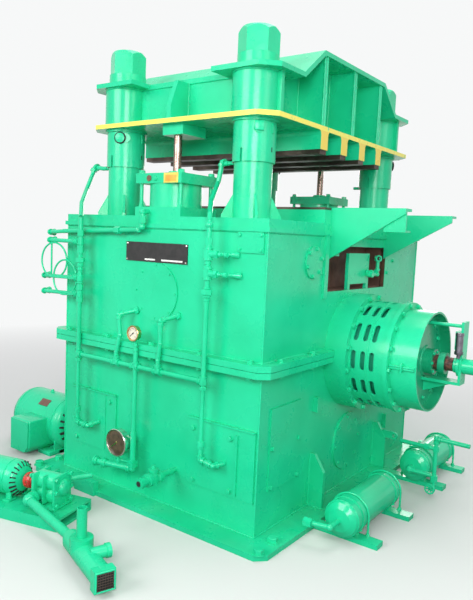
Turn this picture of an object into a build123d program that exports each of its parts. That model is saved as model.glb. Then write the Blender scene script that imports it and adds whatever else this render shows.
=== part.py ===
from build123d import *
import os
from math import cos, pi, radians, sin, sqrt, tan

os.makedirs("parts", exist_ok=True)

# Cutoff press: a welded bed houses the drive, and a crown above it is pulled down by four posts.
# Millimetres. X runs along the front, the front faces -Y, Z is up, the origin is under the base plate.

# bed
BODY_W, BODY_D, WALL_T = 1480.0, 1950.0, 25.0      # along the front, front to back, wall
BASE_W, BASE_D, BASE_T = 1780.0, 2240.0, 28.0
SEAM_Z, SEAM_T, SEAM_OUT = 850.0, 65.0, 66.0
DECK_Z, DECK_T, DECK_OUT = 1557.0, 65.0, 15.0
BED_D, BED_T, TABLE_T = 860.0, 75.0, 13.0
# columns
COL_X, COL_Y = 480.0, 759.0
POST_R, RUN_GAP = 75.0, 0.05
GUIDE_R, GUIDE_H = 102.0, 448.0
SLEEVE_R, SLEEVE_WALL, SLEEVE_H = 113.5, 6.5, 206.0
STROKE = 45.0
# crown
CROWN_Z, CROWN_W, CROWN_D, PLATE_T = 2132.0, 1344.0, 1820.0, 25.0
CROWN_CUT, EAR_H, RISE = 84.0, 213.0, 160.0
TUBE_R, COLLAR_R, COLLAR_H, NUT_R, NUT_H = 128.0, 109.0, 64.0, 109.0, 137.0
RAIL_W, RAIL_H, SHOE_H, RAIL_STEP = 78.0, 102.0, 25.0, 240.0
# counterbalance cylinders
CYL_Y, CAP_W, CAP_D, CYL_CAP, CYL_BARREL_R, ROD_R = 820.0, 340.0, 302.0, 50.0, 147.0, 23.0
# drive drum
DRUM_Z, DRUM_R, SLOT_R, GUARD_R = 877.0, 346.0, 311.0, 284.0
DRUM_L, SLOT_RING_L, GUARD_L, DEVICE_L = 119.0, 237.0, 162.0, 150.0
SLOTS_ROUND, SLOT_L, SLOT_W = 12, 105.0, 28.0
# pipes and tanks
PIPE_R, TANK_R, TANK_OUT, TANK_Z = 13.5, 95.0, 325.0, 122.0

HW, HD = BODY_W / 2, BODY_D / 2
SEAM_TOP, DECK_TOP = SEAM_Z + SEAM_T, DECK_Z + DECK_T
BED_TOP = DECK_TOP + BED_T
FRONT = -HD
PIPE_Y = FRONT - SEAM_OUT - PIPE_R - 3
DRUM_X1, DRUM_X2 = HW + DRUM_L, HW + DRUM_L + SLOT_RING_L
DRUM_X3 = DRUM_X2 + GUARD_L
FACE_X = DRUM_X3 - 60
LOW_Z, WEB_Z = CROWN_Z, CROWN_Z + PLATE_T
EAR_Z = WEB_Z + EAR_H
NUT_Z = EAR_Z + PLATE_T + COLLAR_H
SKY = 2 * NUT_Z
CORNERS = [(sx * COL_X, sy * COL_Y) for sx in (-1, 1) for sy in (-1, 1)]
nodes = {}


def block(x, y, z):
    """Box between the low and high value on each axis."""
    return Pos((x[0] + x[1]) / 2, (y[0] + y[1]) / 2, (z[0] + z[1]) / 2) * Box(
        x[1] - x[0], y[1] - y[0], z[1] - z[0])


def bar(r, a, b):
    """Round bar from point a to point b."""
    v = Vector(*b) - Vector(*a)
    return Solid.make_cylinder(r, v.length, Plane(origin=a, z_dir=v))


def post(r, x, y, z0, z1):
    return bar(r, (x, y, z0), (x, y, z1))


def along_x(r, x0, x1, y, z):
    return bar(r, (x0, y, z), (x1, y, z))


def along_y(r, x, y0, y1, z):
    return bar(r, (x, y0, z), (x, y1, z))


def slab(points, z0, z1):
    """Outline in plan, from z0 up to z1."""
    return extrude(Plane.XY.offset(z0) * make_face(Polyline(*points, close=True)), z1 - z0)


def side_plate(points, x0, x1):
    """Outline of (y, z) points, from x0 to x1."""
    return extrude(Plane.YZ.offset(x0) * make_face(Polyline(*points, close=True)), x1 - x0)


def front_plate(points, y0, y1):
    """Outline of (x, z) points, from y0 to y1."""
    return extrude(Plane.XZ.offset(-y1) * make_face(Polyline(*points, close=True)), y1 - y0)


def octagon(w, d, cut):
    a, b = w / 2, d / 2
    return [(-a, -b + cut), (-a + cut, -b), (a - cut, -b), (a, -b + cut),
            (a, b - cut), (a - cut, b), (-a + cut, b), (-a, b - cut)]


def join(shapes):
    whole = shapes[0]
    for s in shapes[1:]:
        whole = whole + s
    return whole


def group(shapes):
    """Several solids that stand clear of each other, as one node."""
    return Compound([s for shape in shapes for s in shape.solids()])


def run(points, r=PIPE_R, elbow=1.35):
    """Screwed pipe through the points with an elbow at each bend."""
    bits = [bar(r, a, b) for a, b in zip(points, points[1:])]
    bits += [Pos(*p) * Sphere(elbow * r) for p in points[1:-1]]
    return join(bits)


def fitting(p, axis, r=PIPE_R):
    """Six-sided coupling round a pipe at point p."""
    turn = {"x": Rot(0, 90, 0), "y": Rot(90, 0, 0), "z": Rot(0, 0, 0)}[axis]
    return Pos(*p) * turn * extrude(RegularPolygon(1.45 * r, 6), 1.3 * r, both=True)


def save(name, shape):
    nodes[name] = shape


# bed: base plate, two welded boxes bolted at a seam, and the deck
save("base_plate", join([slab(octagon(BASE_W, BASE_D, 50), 0, BASE_T),
                         block((-BASE_W / 4, -BASE_W / 4 + 170), (-BASE_D / 2 - 18, -BASE_D / 2 + 20), (0, 80))]))
in_x, in_y = (-HW + WALL_T, HW - WALL_T), (-HD + WALL_T, HD - WALL_T)
save("lower_housing", block((-HW, HW), (-HD, HD), (BASE_T, SEAM_Z)) - block(in_x, in_y, (BASE_T - 1, SEAM_Z + 1)))
seam_w, seam_d = BODY_W + 2 * SEAM_OUT, BODY_D + 2 * SEAM_OUT
half = SEAM_T / 2
save("seam_flange", slab(octagon(seam_w, seam_d, 48), SEAM_Z, SEAM_TOP)
     - (slab(octagon(seam_w + 20, seam_d + 20, 48), SEAM_Z + half - 1.5, SEAM_Z + half + 1.5)
        - slab(octagon(seam_w - 16, seam_d - 16, 46), SEAM_Z + half - 2, SEAM_Z + half + 2))
     - along_x(DRUM_R, HW, seam_w, 0, DRUM_Z))

CHUTE_Y, CHUTE_H = (-350.0, 430.0), 257.0
CHUTE_Z = (DECK_Z - 57 - CHUTE_H, DECK_Z - 57)
upper = block((-HW, HW), (-HD, HD), (SEAM_TOP, DECK_Z)) - block(in_x, in_y, (SEAM_TOP - 1, DECK_Z + 1))
upper -= block((HW - WALL_T - 1, HW + 1), CHUTE_Y, CHUTE_Z)
save("upper_housing", upper)
deck_w, deck_d = BODY_W + 2 * DECK_OUT, BODY_D + 2 * DECK_OUT
DECK_SPLIT = DECK_Z + 23
deck = block((-deck_w / 2, deck_w / 2), (-deck_d / 2, deck_d / 2), (DECK_Z, DECK_SPLIT))
deck += block((-HW - 4, HW + 4), (-HD - 4, HD + 4), (DECK_SPLIT, DECK_TOP))
save("deck_plate", deck)

bolster = block((-HW, HW), (-BED_D / 2, BED_D / 2), (DECK_TOP, BED_TOP))
save("bolster", bolster)
table = block((-HW, HW), (-BED_D / 2, BED_D / 2), (BED_TOP, BED_TOP + TABLE_T))
for k in range(-2, 3):
    table -= block((-HW - 1, HW + 1), (k * 150 - 14, k * 150 + 14), (BED_TOP - 1, BED_TOP + TABLE_T + 1))
save("table_strips", table)

# front of the bed: two bolted doors, a drip strip over the right one, covers and a bare plate
DOORS = (((-668, -270), (215, 560)), ((290, 729), (202, 560)))
doors = [block(x, (FRONT - 10, FRONT), z) for x, z in DOORS]
doors[0] += block((-362, -354), (FRONT - 14, FRONT - 9), (225, 550))
doors[1] += block((613, 627), (FRONT - 20, FRONT - 9), (216, 533))
drips = [block((x[0] + 6, x[1] + 2), (FRONT - 22, FRONT), (z[1] + 3, z[1] + 11)) for x, z in DOORS]
save("front_doors", group(doors + drips))
round_cover = along_y(160, 17, FRONT - 8, FRONT, 1207)
small_cover = block((565, 722), (FRONT - 10, FRONT), (DECK_Z - 105, DECK_Z - 3))
save("front_covers", group([round_cover, small_cover]))
save("name_plate", block((-222, 238), (FRONT - 5, FRONT), (1369, 1476)))

# right side of the bed: covers, climbing bars, a strip beside the opening, foot brackets
covers = [block((HW, HW + 10), (-877, -583), (239, 671)),
          along_x(178, HW, HW + 12, 5, 300),
          along_x(88, HW, HW + 10, -528, 1408),
          block((HW, HW + 14), (-416, -377), (1208, DECK_Z - 3))]
steps = [block((HW, HW + 30), (-440, -412), (571, 654)), block((HW, HW + 30), (556, 584), (256, 355))]
save("side_covers", group(covers + steps))
plate_z = (CHUTE_Z[0] + 33, CHUTE_Z[1] - 39)
chute = block((HW - 24, HW - 4), (-95, 190), plate_z)
for y in (-95, 160):
    chute += block((HW - 24, HW - 4), (y, y + 30), (CHUTE_Z[0], plate_z[0] + 1))
fit_z = plate_z[0] + 55
chute += run([(HW - 5, 152, fit_z), (HW + 22, 152, fit_z), (HW + 22, 262, fit_z), (HW + 22, 262, fit_z + 100)], 11)
chute += along_x(17, HW + 10, HW + 44, 152, fit_z) + along_x(17, HW + 5, HW + 42, 262, fit_z + 100)
save("chute_plate", chute)
brackets = []
for y in (-430, 425):
    outline = [(HW, BASE_T), (HW + 92, BASE_T), (HW + 92, 235), (HW + 30, 330), (HW, 330)]
    brackets.append(front_plate(outline, y - 12, y + 12))
lug = block((HW + 60, HW + 150), (417, 433), (240, 285)) + along_y(23, HW + 150, 417, 433, 262)
brackets[1] = brackets[1] + lug - along_y(11, HW + 150, 416, 434, 262)
save("foot_brackets", group(brackets))

# two cantilever arms that carry the feed table: a web, a flange along its top, a foot on the wall
ARM_L, ARM_T, ARM_W = 428.0, 14.0, 85.0
arm_top, arm_x, arm_low = BED_TOP + 16, HW + ARM_L, CHUTE_Z[0] + 186
arms = []
for y, tip in ((CHUTE_Y[0] - 7, 28), (CHUTE_Y[1] - 38, 42)):
    web = front_plate([(HW, arm_low), (arm_x, arm_top - tip), (arm_x, arm_top - 5), (HW, arm_top - 5)], y, y + ARM_T)
    top = block((HW, arm_x), (y, y + ARM_W), (arm_top - ARM_T, arm_top))
    foot = block((HW, HW + 20), (y, y + ARM_W), (arm_low + 16, arm_top - 5))
    arms.append(join([web, top, foot]))
y, low = CHUTE_Y[0] + ARM_T - 7, arm_top - 124
channel = block((arm_x - 120, arm_x), (y - 1, y + 10), (low, arm_top - 5))
channel += block((arm_x - 120, arm_x), (y - 1, y + 70), (low, low + 11))
arms[0] += channel
save("cantilever_arms", group([arm - deck for arm in arms]))

# four guides on the deck, one for each post, with fins and a lubrication nipple
LUBE_Z = DECK_TOP + 298
guides = []
for x, y in CORNERS:
    tube = post(GUIDE_R, x, y, DECK_TOP, DECK_TOP + GUIDE_H)
    lo, hi = GUIDE_R - 6, GUIDE_R + 58
    fin = front_plate([(lo, DECK_TOP), (hi, DECK_TOP), (hi, DECK_TOP + 20), (lo, DECK_TOP + 138)], -7, 7)
    for turn in (45, 135, 225, 315):
        tube += Pos(x, y, 0) * Rot(0, 0, turn) * fin
    tube += along_x(10, x - GUIDE_R - 60, x - GUIDE_R + 6, y, LUBE_Z)
    tube -= post(POST_R + RUN_GAP, x, y, DECK_TOP - 1, SKY)
    guides.append(tube)
save("post_guides", group(guides))

# counterbalance cylinders
CYL_H = CYL_CAP + 128
caps, barrels = [], []
for s in (-1, 1):
    y = s * CYL_Y
    low, high = DECK_TOP + CYL_CAP, DECK_TOP + CYL_H
    w, d = CAP_W / 2, CAP_D / 2
    caps.append(block((-w, w), (y - d, y + d), (DECK_TOP, low)))
    caps.append((block((-w, w), (y - d, y + d), (high, high + 55)) + post(ROD_R + 24, 0, y, high + 54, high + 75))
                - post(ROD_R + RUN_GAP, 0, y, high - 1, high + 76))
    barrel = post(CYL_BARREL_R, 0, y, low, high) - post(CYL_BARREL_R - 15 + RUN_GAP, 0, y, low - 1, high + 1)
    barrels.append(barrel)
    for dx in (-1, 1):
        for dy in (-1, 1):
            barrels.append(post(11, dx * (w - 24), y + dy * (d - 24), low, high))
save("counterbalance_cylinders", join(caps + barrels))

# drive drum on the right side
spool = along_x(DRUM_R, HW, DRUM_X1, 0, DRUM_Z) - along_x(60, HW - 1, DRUM_X1 + 1, 0, DRUM_Z)
spool -= along_x(SLOT_R - 14, HW + 40, DRUM_X1 + 1, 0, DRUM_Z)
save("drum_housing", spool)
WALL = 12.0
ring = along_x(SLOT_R, DRUM_X1, DRUM_X2, 0, DRUM_Z)
ring += along_x(DRUM_R, DRUM_X1, DRUM_X1 + 14, 0, DRUM_Z)
ring += along_x(SLOT_R + 10, DRUM_X2 - 14, DRUM_X2, 0, DRUM_Z)
ring -= along_x(SLOT_R - WALL, DRUM_X1 - 1, DRUM_X2 + 1, 0, DRUM_Z)
cutters = []
for x in (DRUM_X1 + 44, DRUM_X1 + 101, DRUM_X1 + 154):
    for k in range(SLOTS_ROUND):
        a = 180 + 360 * k / SLOTS_ROUND
        slot = Box(SLOT_W, SLOT_L - SLOT_W, 60)
        slot += Pos(0, SLOT_L / 2 - SLOT_W / 2, 0) * Cylinder(SLOT_W / 2, 60)
        slot += Pos(0, -SLOT_L / 2 + SLOT_W / 2, 0) * Cylinder(SLOT_W / 2, 60)
        place = Pos(x, 0, DRUM_Z) * Rot(a - 90, 0, 0) * Pos(0, 0, SLOT_R - WALL / 2)
        cutters.append(place * slot)
ring = ring - cutters
save("slotted_drum", ring)
guard = along_x(GUARD_R, DRUM_X2, DRUM_X3, 0, DRUM_Z) - along_x(GUARD_R - 12, DRUM_X2 + 12, DRUM_X3 + 1, 0, DRUM_Z)
guard += along_x(SLOT_R + 10, DRUM_X2, DRUM_X2 + 12, 0, DRUM_Z)
guard -= along_x(60, DRUM_X2 - 1, DRUM_X3, 0, DRUM_Z)
face = along_x(GUARD_R - 12, FACE_X - 12, FACE_X, 0, DRUM_Z)
face += along_x(72, FACE_X, DRUM_X3 + 4, 0, DRUM_Z)
face -= along_x(42 + RUN_GAP, FACE_X - 40, DRUM_X3 + 20, 0, DRUM_Z)
save("drum_guard", guard + face)

DEV_X = DRUM_X3 + 114
SHAFT_END = DEV_X - 5
shaft = along_x(42, HW + 45, SHAFT_END - 60, 0, DRUM_Z)
shaft += along_x(SLOT_R - 34, DRUM_X1 + 20, DRUM_X2 - 20, 0, DRUM_Z)
for x in (DRUM_X1 + 60, DRUM_X1 + 120, DRUM_X1 + 170):
    shaft -= along_x(SLOT_R, x, x + 12, 0, DRUM_Z) - along_x(SLOT_R - 60, x - 1, x + 13, 0, DRUM_Z)
shaft += along_x(38, SHAFT_END - 61, SHAFT_END, 0, DRUM_Z)
shaft += along_x(60, SHAFT_END - 75, SHAFT_END - 40, 0, DRUM_Z)
save("drive_shaft", shaft)

# rotary feed device, held by a plate and a bracket outside the drum
plate_x = (DEV_X + 33, DEV_X + 47)
device = along_x(42, DEV_X, DEV_X + DEVICE_L, 0, DRUM_Z) + along_x(60, DEV_X + 21, plate_x[0] + 1, 0, DRUM_Z)
frame = block(plate_x, (-45, 45), (DRUM_Z - 104, DRUM_Z + 245))
frame += block((FACE_X, plate_x[0] + 1), (-45, 45), (DRUM_Z - 104, DRUM_Z - 88))
frame += front_plate([(FACE_X, DRUM_Z - 90), (plate_x[0] + 1, DRUM_Z - 90), (FACE_X, DRUM_Z - 175)], -6, 6)
frame += along_x(10, FACE_X, plate_x[0] + 1, 0, DRUM_Z + 219)
frame += block((plate_x[0] - 34, plate_x[0] + 1), (-30, 30), (DRUM_Z + 90, DRUM_Z + 190))
save("rotary_device", device + frame)

# two air tanks on the floor, with the feet that carry them
TANK_X = HW + TANK_OUT
tanks, saddles = [], []
for y0, y1, straps in ((-700, -100, (-590, -165)), (310, 880, (400, 790))):
    dish = 42.0
    prof = [(0, y0), (TANK_R * 0.62, y0 + 8), (TANK_R * 0.92, y0 + 26), (TANK_R, y0 + dish),
            (TANK_R, y1 - dish), (TANK_R * 0.92, y1 - 26), (TANK_R * 0.62, y1 - 8), (0, y1)]
    vessel = revolve(Plane.XY * make_face(Polyline(*prof, close=True)), Axis.Y)
    tanks.append(Pos(TANK_X, 0, TANK_Z) * vessel)
    for y in straps:
        foot = block((BASE_W / 2, TANK_X + TANK_R + 90), (y - 35, y + 35), (0, TANK_Z - TANK_R))
        band = along_y(TANK_R + 5, TANK_X, y - 20, y + 20, TANK_Z) - along_y(TANK_R, TANK_X, y - 21, y + 21, TANK_Z)
        lug = block((TANK_X - 60, TANK_X + 60), (y - 20, y + 20), (TANK_Z - TANK_R, TANK_Z - 60))
        lug -= along_y(TANK_R, TANK_X, y - 21, y + 21, TANK_Z)
        saddles.append(join([foot, band, lug]))
save("air_tanks", join(tanks + saddles))
riser_x = TANK_X + 160
air = run([(riser_x, 255, 30), (riser_x, 255, 360), (riser_x + 198, 255, 357)])
air += along_x(PIPE_R, TANK_X - 67, riser_x, 255, 297) + fitting((riser_x - 55, 255, 297), "x")
air += run([(riser_x, 255, 60), (riser_x, 262, TANK_Z), (TANK_X, 262, TANK_Z), (TANK_X, 311, TANK_Z)])
air += fitting((riser_x, 255, 110), "z", 16) + fitting((riser_x, 255, 297), "z")
air += fitting((TANK_X, 285, TANK_Z), "y", 16)
front_air = run([(TANK_X, -699, TANK_Z), (TANK_X, -790, TANK_Z), (BASE_W / 2 + 50, -812, TANK_Z)])
front_air += fitting((BASE_W / 2 + 66, -811, TANK_Z), "x", 17)
save("tank_pipes", group([air - tanks, front_air - tanks]))

# lubrication and air pipes on the front; they pass outside the seam flange and end on the wall or the doors
Y, ON_DOOR, DECK_Y = PIPE_Y, FRONT - 10, FRONT - DECK_OUT
HEAD_Z = SEAM_Z - 59
LEFT_X, RIGHT_X, GAUGE_X, DROP_X = -527.0, 442.0, -50.0, -45.0
rise = DECK_TOP - 18
tube_x = -COL_X - GUIDE_R - 183
left = run([(LEFT_X, Y, rise), (LEFT_X, Y, HEAD_Z)]) + run(
    [(LEFT_X, Y, HEAD_Z), (LEFT_X, Y, 375), (-440, Y + 8, 366), (-412, ON_DOOR, 383)], 11)
left += run([(LEFT_X, Y, rise), (LEFT_X - 100, Y + 85, DECK_TOP + 69), (tube_x + 50, Y + 195, DECK_TOP + 160),
             (tube_x - 5, -COL_Y - 12, DECK_TOP + 262), (tube_x, -COL_Y, LUBE_Z + 12),
             (-COL_X - GUIDE_R - 100, -COL_Y, LUBE_Z), (-COL_X - GUIDE_R - 60, -COL_Y, LUBE_Z)], 10, 1.15)
header = along_x(PIPE_R, LEFT_X, RIGHT_X, Y, HEAD_Z)
branch_1 = run([(-200, Y, HEAD_Z), (-200, Y, 850), (-172, Y, 950), (-189, Y, 1065), (-126, FRONT, 1090)], 10)
branch_2 = run([(124, Y, HEAD_Z), (124, Y, 850), (136, Y, 943), (134, Y, 1066), (186, FRONT, 1093)], 10)
drop = run([(DROP_X, Y, HEAD_Z + 80), (DROP_X, Y, 205), (-170, Y - 25, 203), (-310, Y - 50, 200)])
drop += bar(19, (-215, Y - 33, 202), (-250, Y - 39, 201)) + bar(18, (-285, Y - 46, 200.5), (-310, Y - 50, 200))
right = run([(RIGHT_X, Y, rise), (RIGHT_X, Y, HEAD_Z)]) + run(
    [(RIGHT_X, Y, HEAD_Z), (RIGHT_X, Y, 381), (520, Y + 8, 366), (546, ON_DOOR, 370)], 11)
tube_x = COL_X - GUIDE_R - 110
right += run([(RIGHT_X, Y, rise), (432, Y + 13, DECK_TOP + 12), (335, -920, DECK_TOP + 88), (262, -775, DECK_TOP + 195),
              (tube_x, -COL_Y - 4, DECK_TOP + 262), (tube_x, -COL_Y, LUBE_Z + 10),
              (tube_x + 25, -COL_Y, LUBE_Z), (COL_X - GUIDE_R - 60, -COL_Y, LUBE_Z)], 10, 1.15)
for z, end in ((1437, (567, FRONT, 1438)), (1339, (587, FRONT, 1336))):
    right += run([(RIGHT_X, Y, z), (510, Y + 4, z), end], 9) + bar(17, (RIGHT_X, Y, z), (RIGHT_X + 42, Y, z))
    right += fitting((RIGHT_X, Y, z), "z", 16)
fits = [fitting((LEFT_X, Y, z), "z") for z in (1510, 1410, 1330, 1190, 1120, HEAD_Z, 453)]
fits += [fitting((RIGHT_X, Y, z), "z") for z in (1500, 1241, HEAD_Z, 464)]
fits += [fitting((x, Y, HEAD_Z), "x") for x in (-200, DROP_X, 124)]
tee = block((DROP_X - 20, DROP_X + 20), (Y - 20, Y + 20), (215, 255))
pipework = join([left, header, branch_1, branch_2, drop, right, tee] + fits) - doors
pipework -= block((-HW, HW), (FRONT, 0), (0, DECK_Z))

under = run([(-HW, DECK_Y - 25, 1516), (-95, DECK_Y - 25, 1543), (-66, DECK_Y - 25, 1560), (-66, DECK_Y - 25, 1641),
             (-66, -CYL_Y - CAP_D / 2, 1645)])
under += fitting((-255, DECK_Y - 25, 1536), "x", 16) + fitting((-66, DECK_Y - 25, 1600), "z", 15)
valve = along_y(PIPE_R, 205, FRONT - 280, FRONT, 244) + along_y(19, 205, FRONT - 282, FRONT - 255, 244)
valve += block((183, 227), (FRONT - 205, FRONT - 150), (222, 266)) + post(11, 205, FRONT - 178, 244, 300)
valve += along_y(19, 205, FRONT - 60, FRONT - 30, 244)
save("front_pipes", group([pipework, under, valve]))

small = along_y(44, GAUGE_X, Y - 26, Y + 6, 976)
small += post(8, DROP_X, Y, HEAD_Z + 80, 935)
big_x = DROP_X - 95
big = along_y(79, big_x, Y - 45, Y, 342)
stem = run([(big_x, Y - 20, 275), (big_x, Y - 20, 242), (big_x + 20, Y, 235), (DROP_X - 20, Y, 235)], 8, 1.1)
save("gauges", group([small, big + stem]))

# main motor on the floor left of the bed
MOTOR_X, MOTOR_Y, MOTOR_Z, MOTOR_R = (-1475.0, -930.0), -715.0, 190.0, 178.0
motor = along_x(MOTOR_R, MOTOR_X[0] + 60, MOTOR_X[1] - 60, MOTOR_Y, MOTOR_Z)
motor += along_x(MOTOR_R - 30, MOTOR_X[0], MOTOR_X[1], MOTOR_Y, MOTOR_Z)
motor += block((MOTOR_X[0] + 70, MOTOR_X[1] - 50), (MOTOR_Y - 197, MOTOR_Y + 197), (0, 30))
motor += block((MOTOR_X[0] + 80, MOTOR_X[1] - 60), (MOTOR_Y - 150, MOTOR_Y + 150), (29, MOTOR_Z))
motor += front_plate([(MOTOR_X[0] + 235, 28), (MOTOR_X[0] + 445, 28), (MOTOR_X[0] + 580 - 60, 250),
                      (MOTOR_X[0] + 235, 250)], MOTOR_Y - 320, MOTOR_Y - 100)
save("main_motor", motor)

# gear pump set and suction strainer in front
PUMP_AT = Pos(-113, -1403, 0) * Rot(0, 0, 15)
AX = 168.0
base = block((-640, 0), (-150, 150), (0, 14)) + block((-640, 0), (-150, -138), (13, 62)) \
    + block((-640, 0), (138, 150), (13, 62)) + block((-640, 0), (-150, 150), (50, 62))
save("pump_base", PUMP_AT * base)
pmotor = along_x(97, -600, -324, 0, AX) + block((-580, -350), (-90, 90), (62, AX))
pmotor += along_x(14, -325, -292, 0, AX)
save("pump_motor", PUMP_AT * pmotor)
gear = along_x(14, -285, -230, 0, AX) + along_x(54, -225, -60, 0, AX) + along_x(36, -250, -30, 0, AX)
gear += block((-235, -85), (-75, 75), (62, AX)) + block((-190, -110), (0, 92), (AX - 34, AX + 34))
outlet = bar(14, (-250, -1385, AX + 12), (-184, -1234, AX + 12))
save("gear_pump", PUMP_AT * gear + outlet)
jaws = along_x(42, -314, -260, 0, AX) - along_x(14 + RUN_GAP, -315, -259, 0, AX)
save("jaw_coupling", PUMP_AT * jaws)
AT_STRAINER = Pos(143, -1628, 75) * Rot(0, 0, -20)
strainer = along_x(50, 20, 400, 0, 0) + block((378, 425), (-48, 48), (-48, 48)) + along_x(40, -12, 25, 0, 0)
strainer += post(54, 134, 0, 0, 66) + post(24, 134, 0, 0, 205)
strainer += along_y(28, 245, 0, 76, 33) + along_y(33, 245, 72, 92, 33)
strainer -= post(19, 134, 0, 60, 206)
port = PUMP_AT * along_y(36, -203, -92, -75, 116) + PUMP_AT * along_y(24, -203, -112, -75, 116)
elbow = (PUMP_AT * Pos(-203, -112, 116)).position
suction = port + Pos(elbow) * Sphere(34) + bar(24, tuple(elbow), (143, -1628, 75))
save("suction_strainer", AT_STRAINER * strainer + (suction - PUMP_AT * gear))

# crown: two plates with webs between, over four tubes
low_z, web_z, ear_z = LOW_Z, WEB_Z, EAR_Z
top_z = ear_z + PLATE_T + RISE
holes = [post(POST_R + 1, x, y, 0, SKY) for x, y in CORNERS]
save("crown_bottom_plate", slab(octagon(CROWN_W, CROWN_D, CROWN_CUT), low_z, web_z) - holes)
cw, cd = CROWN_W / 2, CROWN_D / 2
SLOPE_0, SLOPE_1, EAR_X, EAR_Y = 603.0, 400.0, 290.0, 760.0
off = PLATE_T * tan(radians(19.1))
upper_line = [(-cd, ear_z + PLATE_T), (-SLOPE_0, ear_z + PLATE_T), (-SLOPE_1, top_z),
              (SLOPE_1, top_z), (SLOPE_0, ear_z + PLATE_T), (cd, ear_z + PLATE_T)]
lower_line = [(cd, ear_z), (SLOPE_0 - off, ear_z), (SLOPE_1 - off, top_z - PLATE_T),
              (-SLOPE_1 + off, top_z - PLATE_T), (-SLOPE_0 + off, ear_z), (-cd, ear_z)]
bent = side_plate(upper_line + lower_line, -cw, cw)
bent &= slab(octagon(CROWN_W, CROWN_D, CROWN_CUT), 0, SKY)
for s in (-1, 1):
    bent -= block((-EAR_X, EAR_X), (s * EAR_Y, s * (cd + 1)) if s > 0 else (-cd - 1, -EAR_Y), (0, SKY))
save("crown_top_plate", bent - holes)
tubes = [post(TUBE_R, x, y, web_z, ear_z) - post(POST_R + 1, x, y, web_z - 1, ear_z + 1) for x, y in CORNERS]
save("crown_tubes", group(tubes))
solid_tubes = [post(TUBE_R, x, y, web_z, ear_z) for x, y in CORNERS]
T = PLATE_T
cross = [block((-660, 660), (y - T / 2, y + T / 2), (web_z, top_z - T)) for y in (-360, 0, 360)]
cross += [block((-632, 632), y, (web_z, ear_z)) - solid_tubes
          for y in ((-EAR_Y, -EAR_Y + T), (EAR_Y - T, EAR_Y))]
save("crown_cross_webs", group(cross))
long_shape = [(-640, web_z), (640, web_z), (640, ear_z), (SLOPE_0 - off, ear_z), (SLOPE_1 - off, top_z - T),
              (-SLOPE_1 + off, top_z - T), (-SLOPE_0 + off, ear_z), (-640, ear_z)]
longs = [side_plate(long_shape, x - T / 2, x + T / 2) - solid_tubes - cross[:3] for x in (-477, 477)]
save("crown_long_webs", group(longs))
ribs = []
for s in (-1, 1):
    gusset = [(s * EAR_Y, web_z), (s * (cd - 5), web_z), (s * (cd - 5), web_z + 73), (s * (cd - 60), ear_z),
              (s * EAR_Y, ear_z)]
    ribs.append(side_plate(gusset, -15, 15))
save("crown_ribs", group(ribs))

collar_z, nut_z = EAR_Z + PLATE_T, NUT_Z
save("collars", group([post(COLLAR_R, x, y, collar_z, nut_z) - post(POST_R + 1, x, y, 0, SKY)
                       for x, y in CORNERS]))
nuts = []
for x, y in CORNERS:
    hexagon = Pos(x, y, nut_z) * Rot(0, 0, 30) * extrude(RegularPolygon(NUT_R, 6), NUT_H)
    top = Pos(x, y, nut_z + NUT_H / 2) * Cone(NUT_R - 20 + 0.8 * NUT_H, NUT_R - 20, NUT_H)
    nuts.append((hexagon & top) - post(POST_R, x, y, nut_z - 1, nut_z + NUT_H - 20))
save("post_nuts", group(nuts))
POST_END = DECK_TOP + 110
save("posts", group([post(POST_R, x, y, POST_END, nut_z + NUT_H - 20) for x, y in CORNERS]))

sleeves = []
SLOT_TOP = LUBE_Z + 70
for x, y in CORNERS:
    sleeve = post(SLEEVE_R, x, y, CROWN_Z - SLEEVE_H - 12, CROWN_Z)
    sleeve += post(SLEEVE_R + 11.5, x, y, CROWN_Z - 12, CROWN_Z)
    boss = Pos(x, y, CROWN_Z - 50) * Rot(0, 0, -45 if y < 0 else 45) * Rot(0, 90, 0)
    sleeve += boss * Pos(0, 0, SLEEVE_R - 4) * Cylinder(26, 20)
    sleeve -= post(SLEEVE_R - SLEEVE_WALL, x, y, 0, SKY)
    sleeve -= block((x - GUIDE_R - 60, x), (y - 22, y + 22), (CROWN_Z - SLEEVE_H - 60, SLOT_TOP))
    sleeve -= block((x - 7, x + 7), (y - GUIDE_R - 60, y + GUIDE_R + 60), (CROWN_Z - SLEEVE_H - 60, SLOT_TOP - 10))
    sleeves.append(sleeve)
save("sleeves", group(sleeves))

rail_y = [(k + 0.5) * RAIL_STEP for k in range(-2, 2)]
rail_z = CROWN_Z - RAIL_H
rails = []
for y in rail_y:
    w = RAIL_W / 2
    rails.append(side_plate([(y - w - 16, CROWN_Z), (y - w - 5, CROWN_Z - 8), (y - w, CROWN_Z - 24), (y - w, rail_z),
                             (y + w, rail_z), (y + w, CROWN_Z - 24), (y + w + 5, CROWN_Z - 8),
                             (y + w + 16, CROWN_Z)], -cw, cw))
save("crown_rails", group(rails))
save("rail_shoes", group([block((-cw + 6, cw - 6), (y - RAIL_W / 2 + 4, y + RAIL_W / 2 - 4), (rail_z - SHOE_H, rail_z))
                          for y in rail_y]))
rod_z = CROWN_Z - 57
save("rod_blocks", group([block((-75, 75), (s * (CYL_Y - 50) - 97, s * (CYL_Y - 50) + 97), (rod_z, CROWN_Z)) for s in (-1, 1)]))
rods = []
for s in (-1, 1):
    piston_z = DECK_TOP + CYL_CAP + STROKE + 12
    rods.append(post(ROD_R, 0, s * CYL_Y, piston_z, rod_z)
                + post(CYL_BARREL_R - 15, 0, s * CYL_Y, piston_z, piston_z + 35))
save("piston_rods", group(rods))

for name, shape in nodes.items():
    export_step(shape, f"parts/{name}.step")
print(len(nodes), "nodes")
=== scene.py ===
# %% [markdown]
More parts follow.
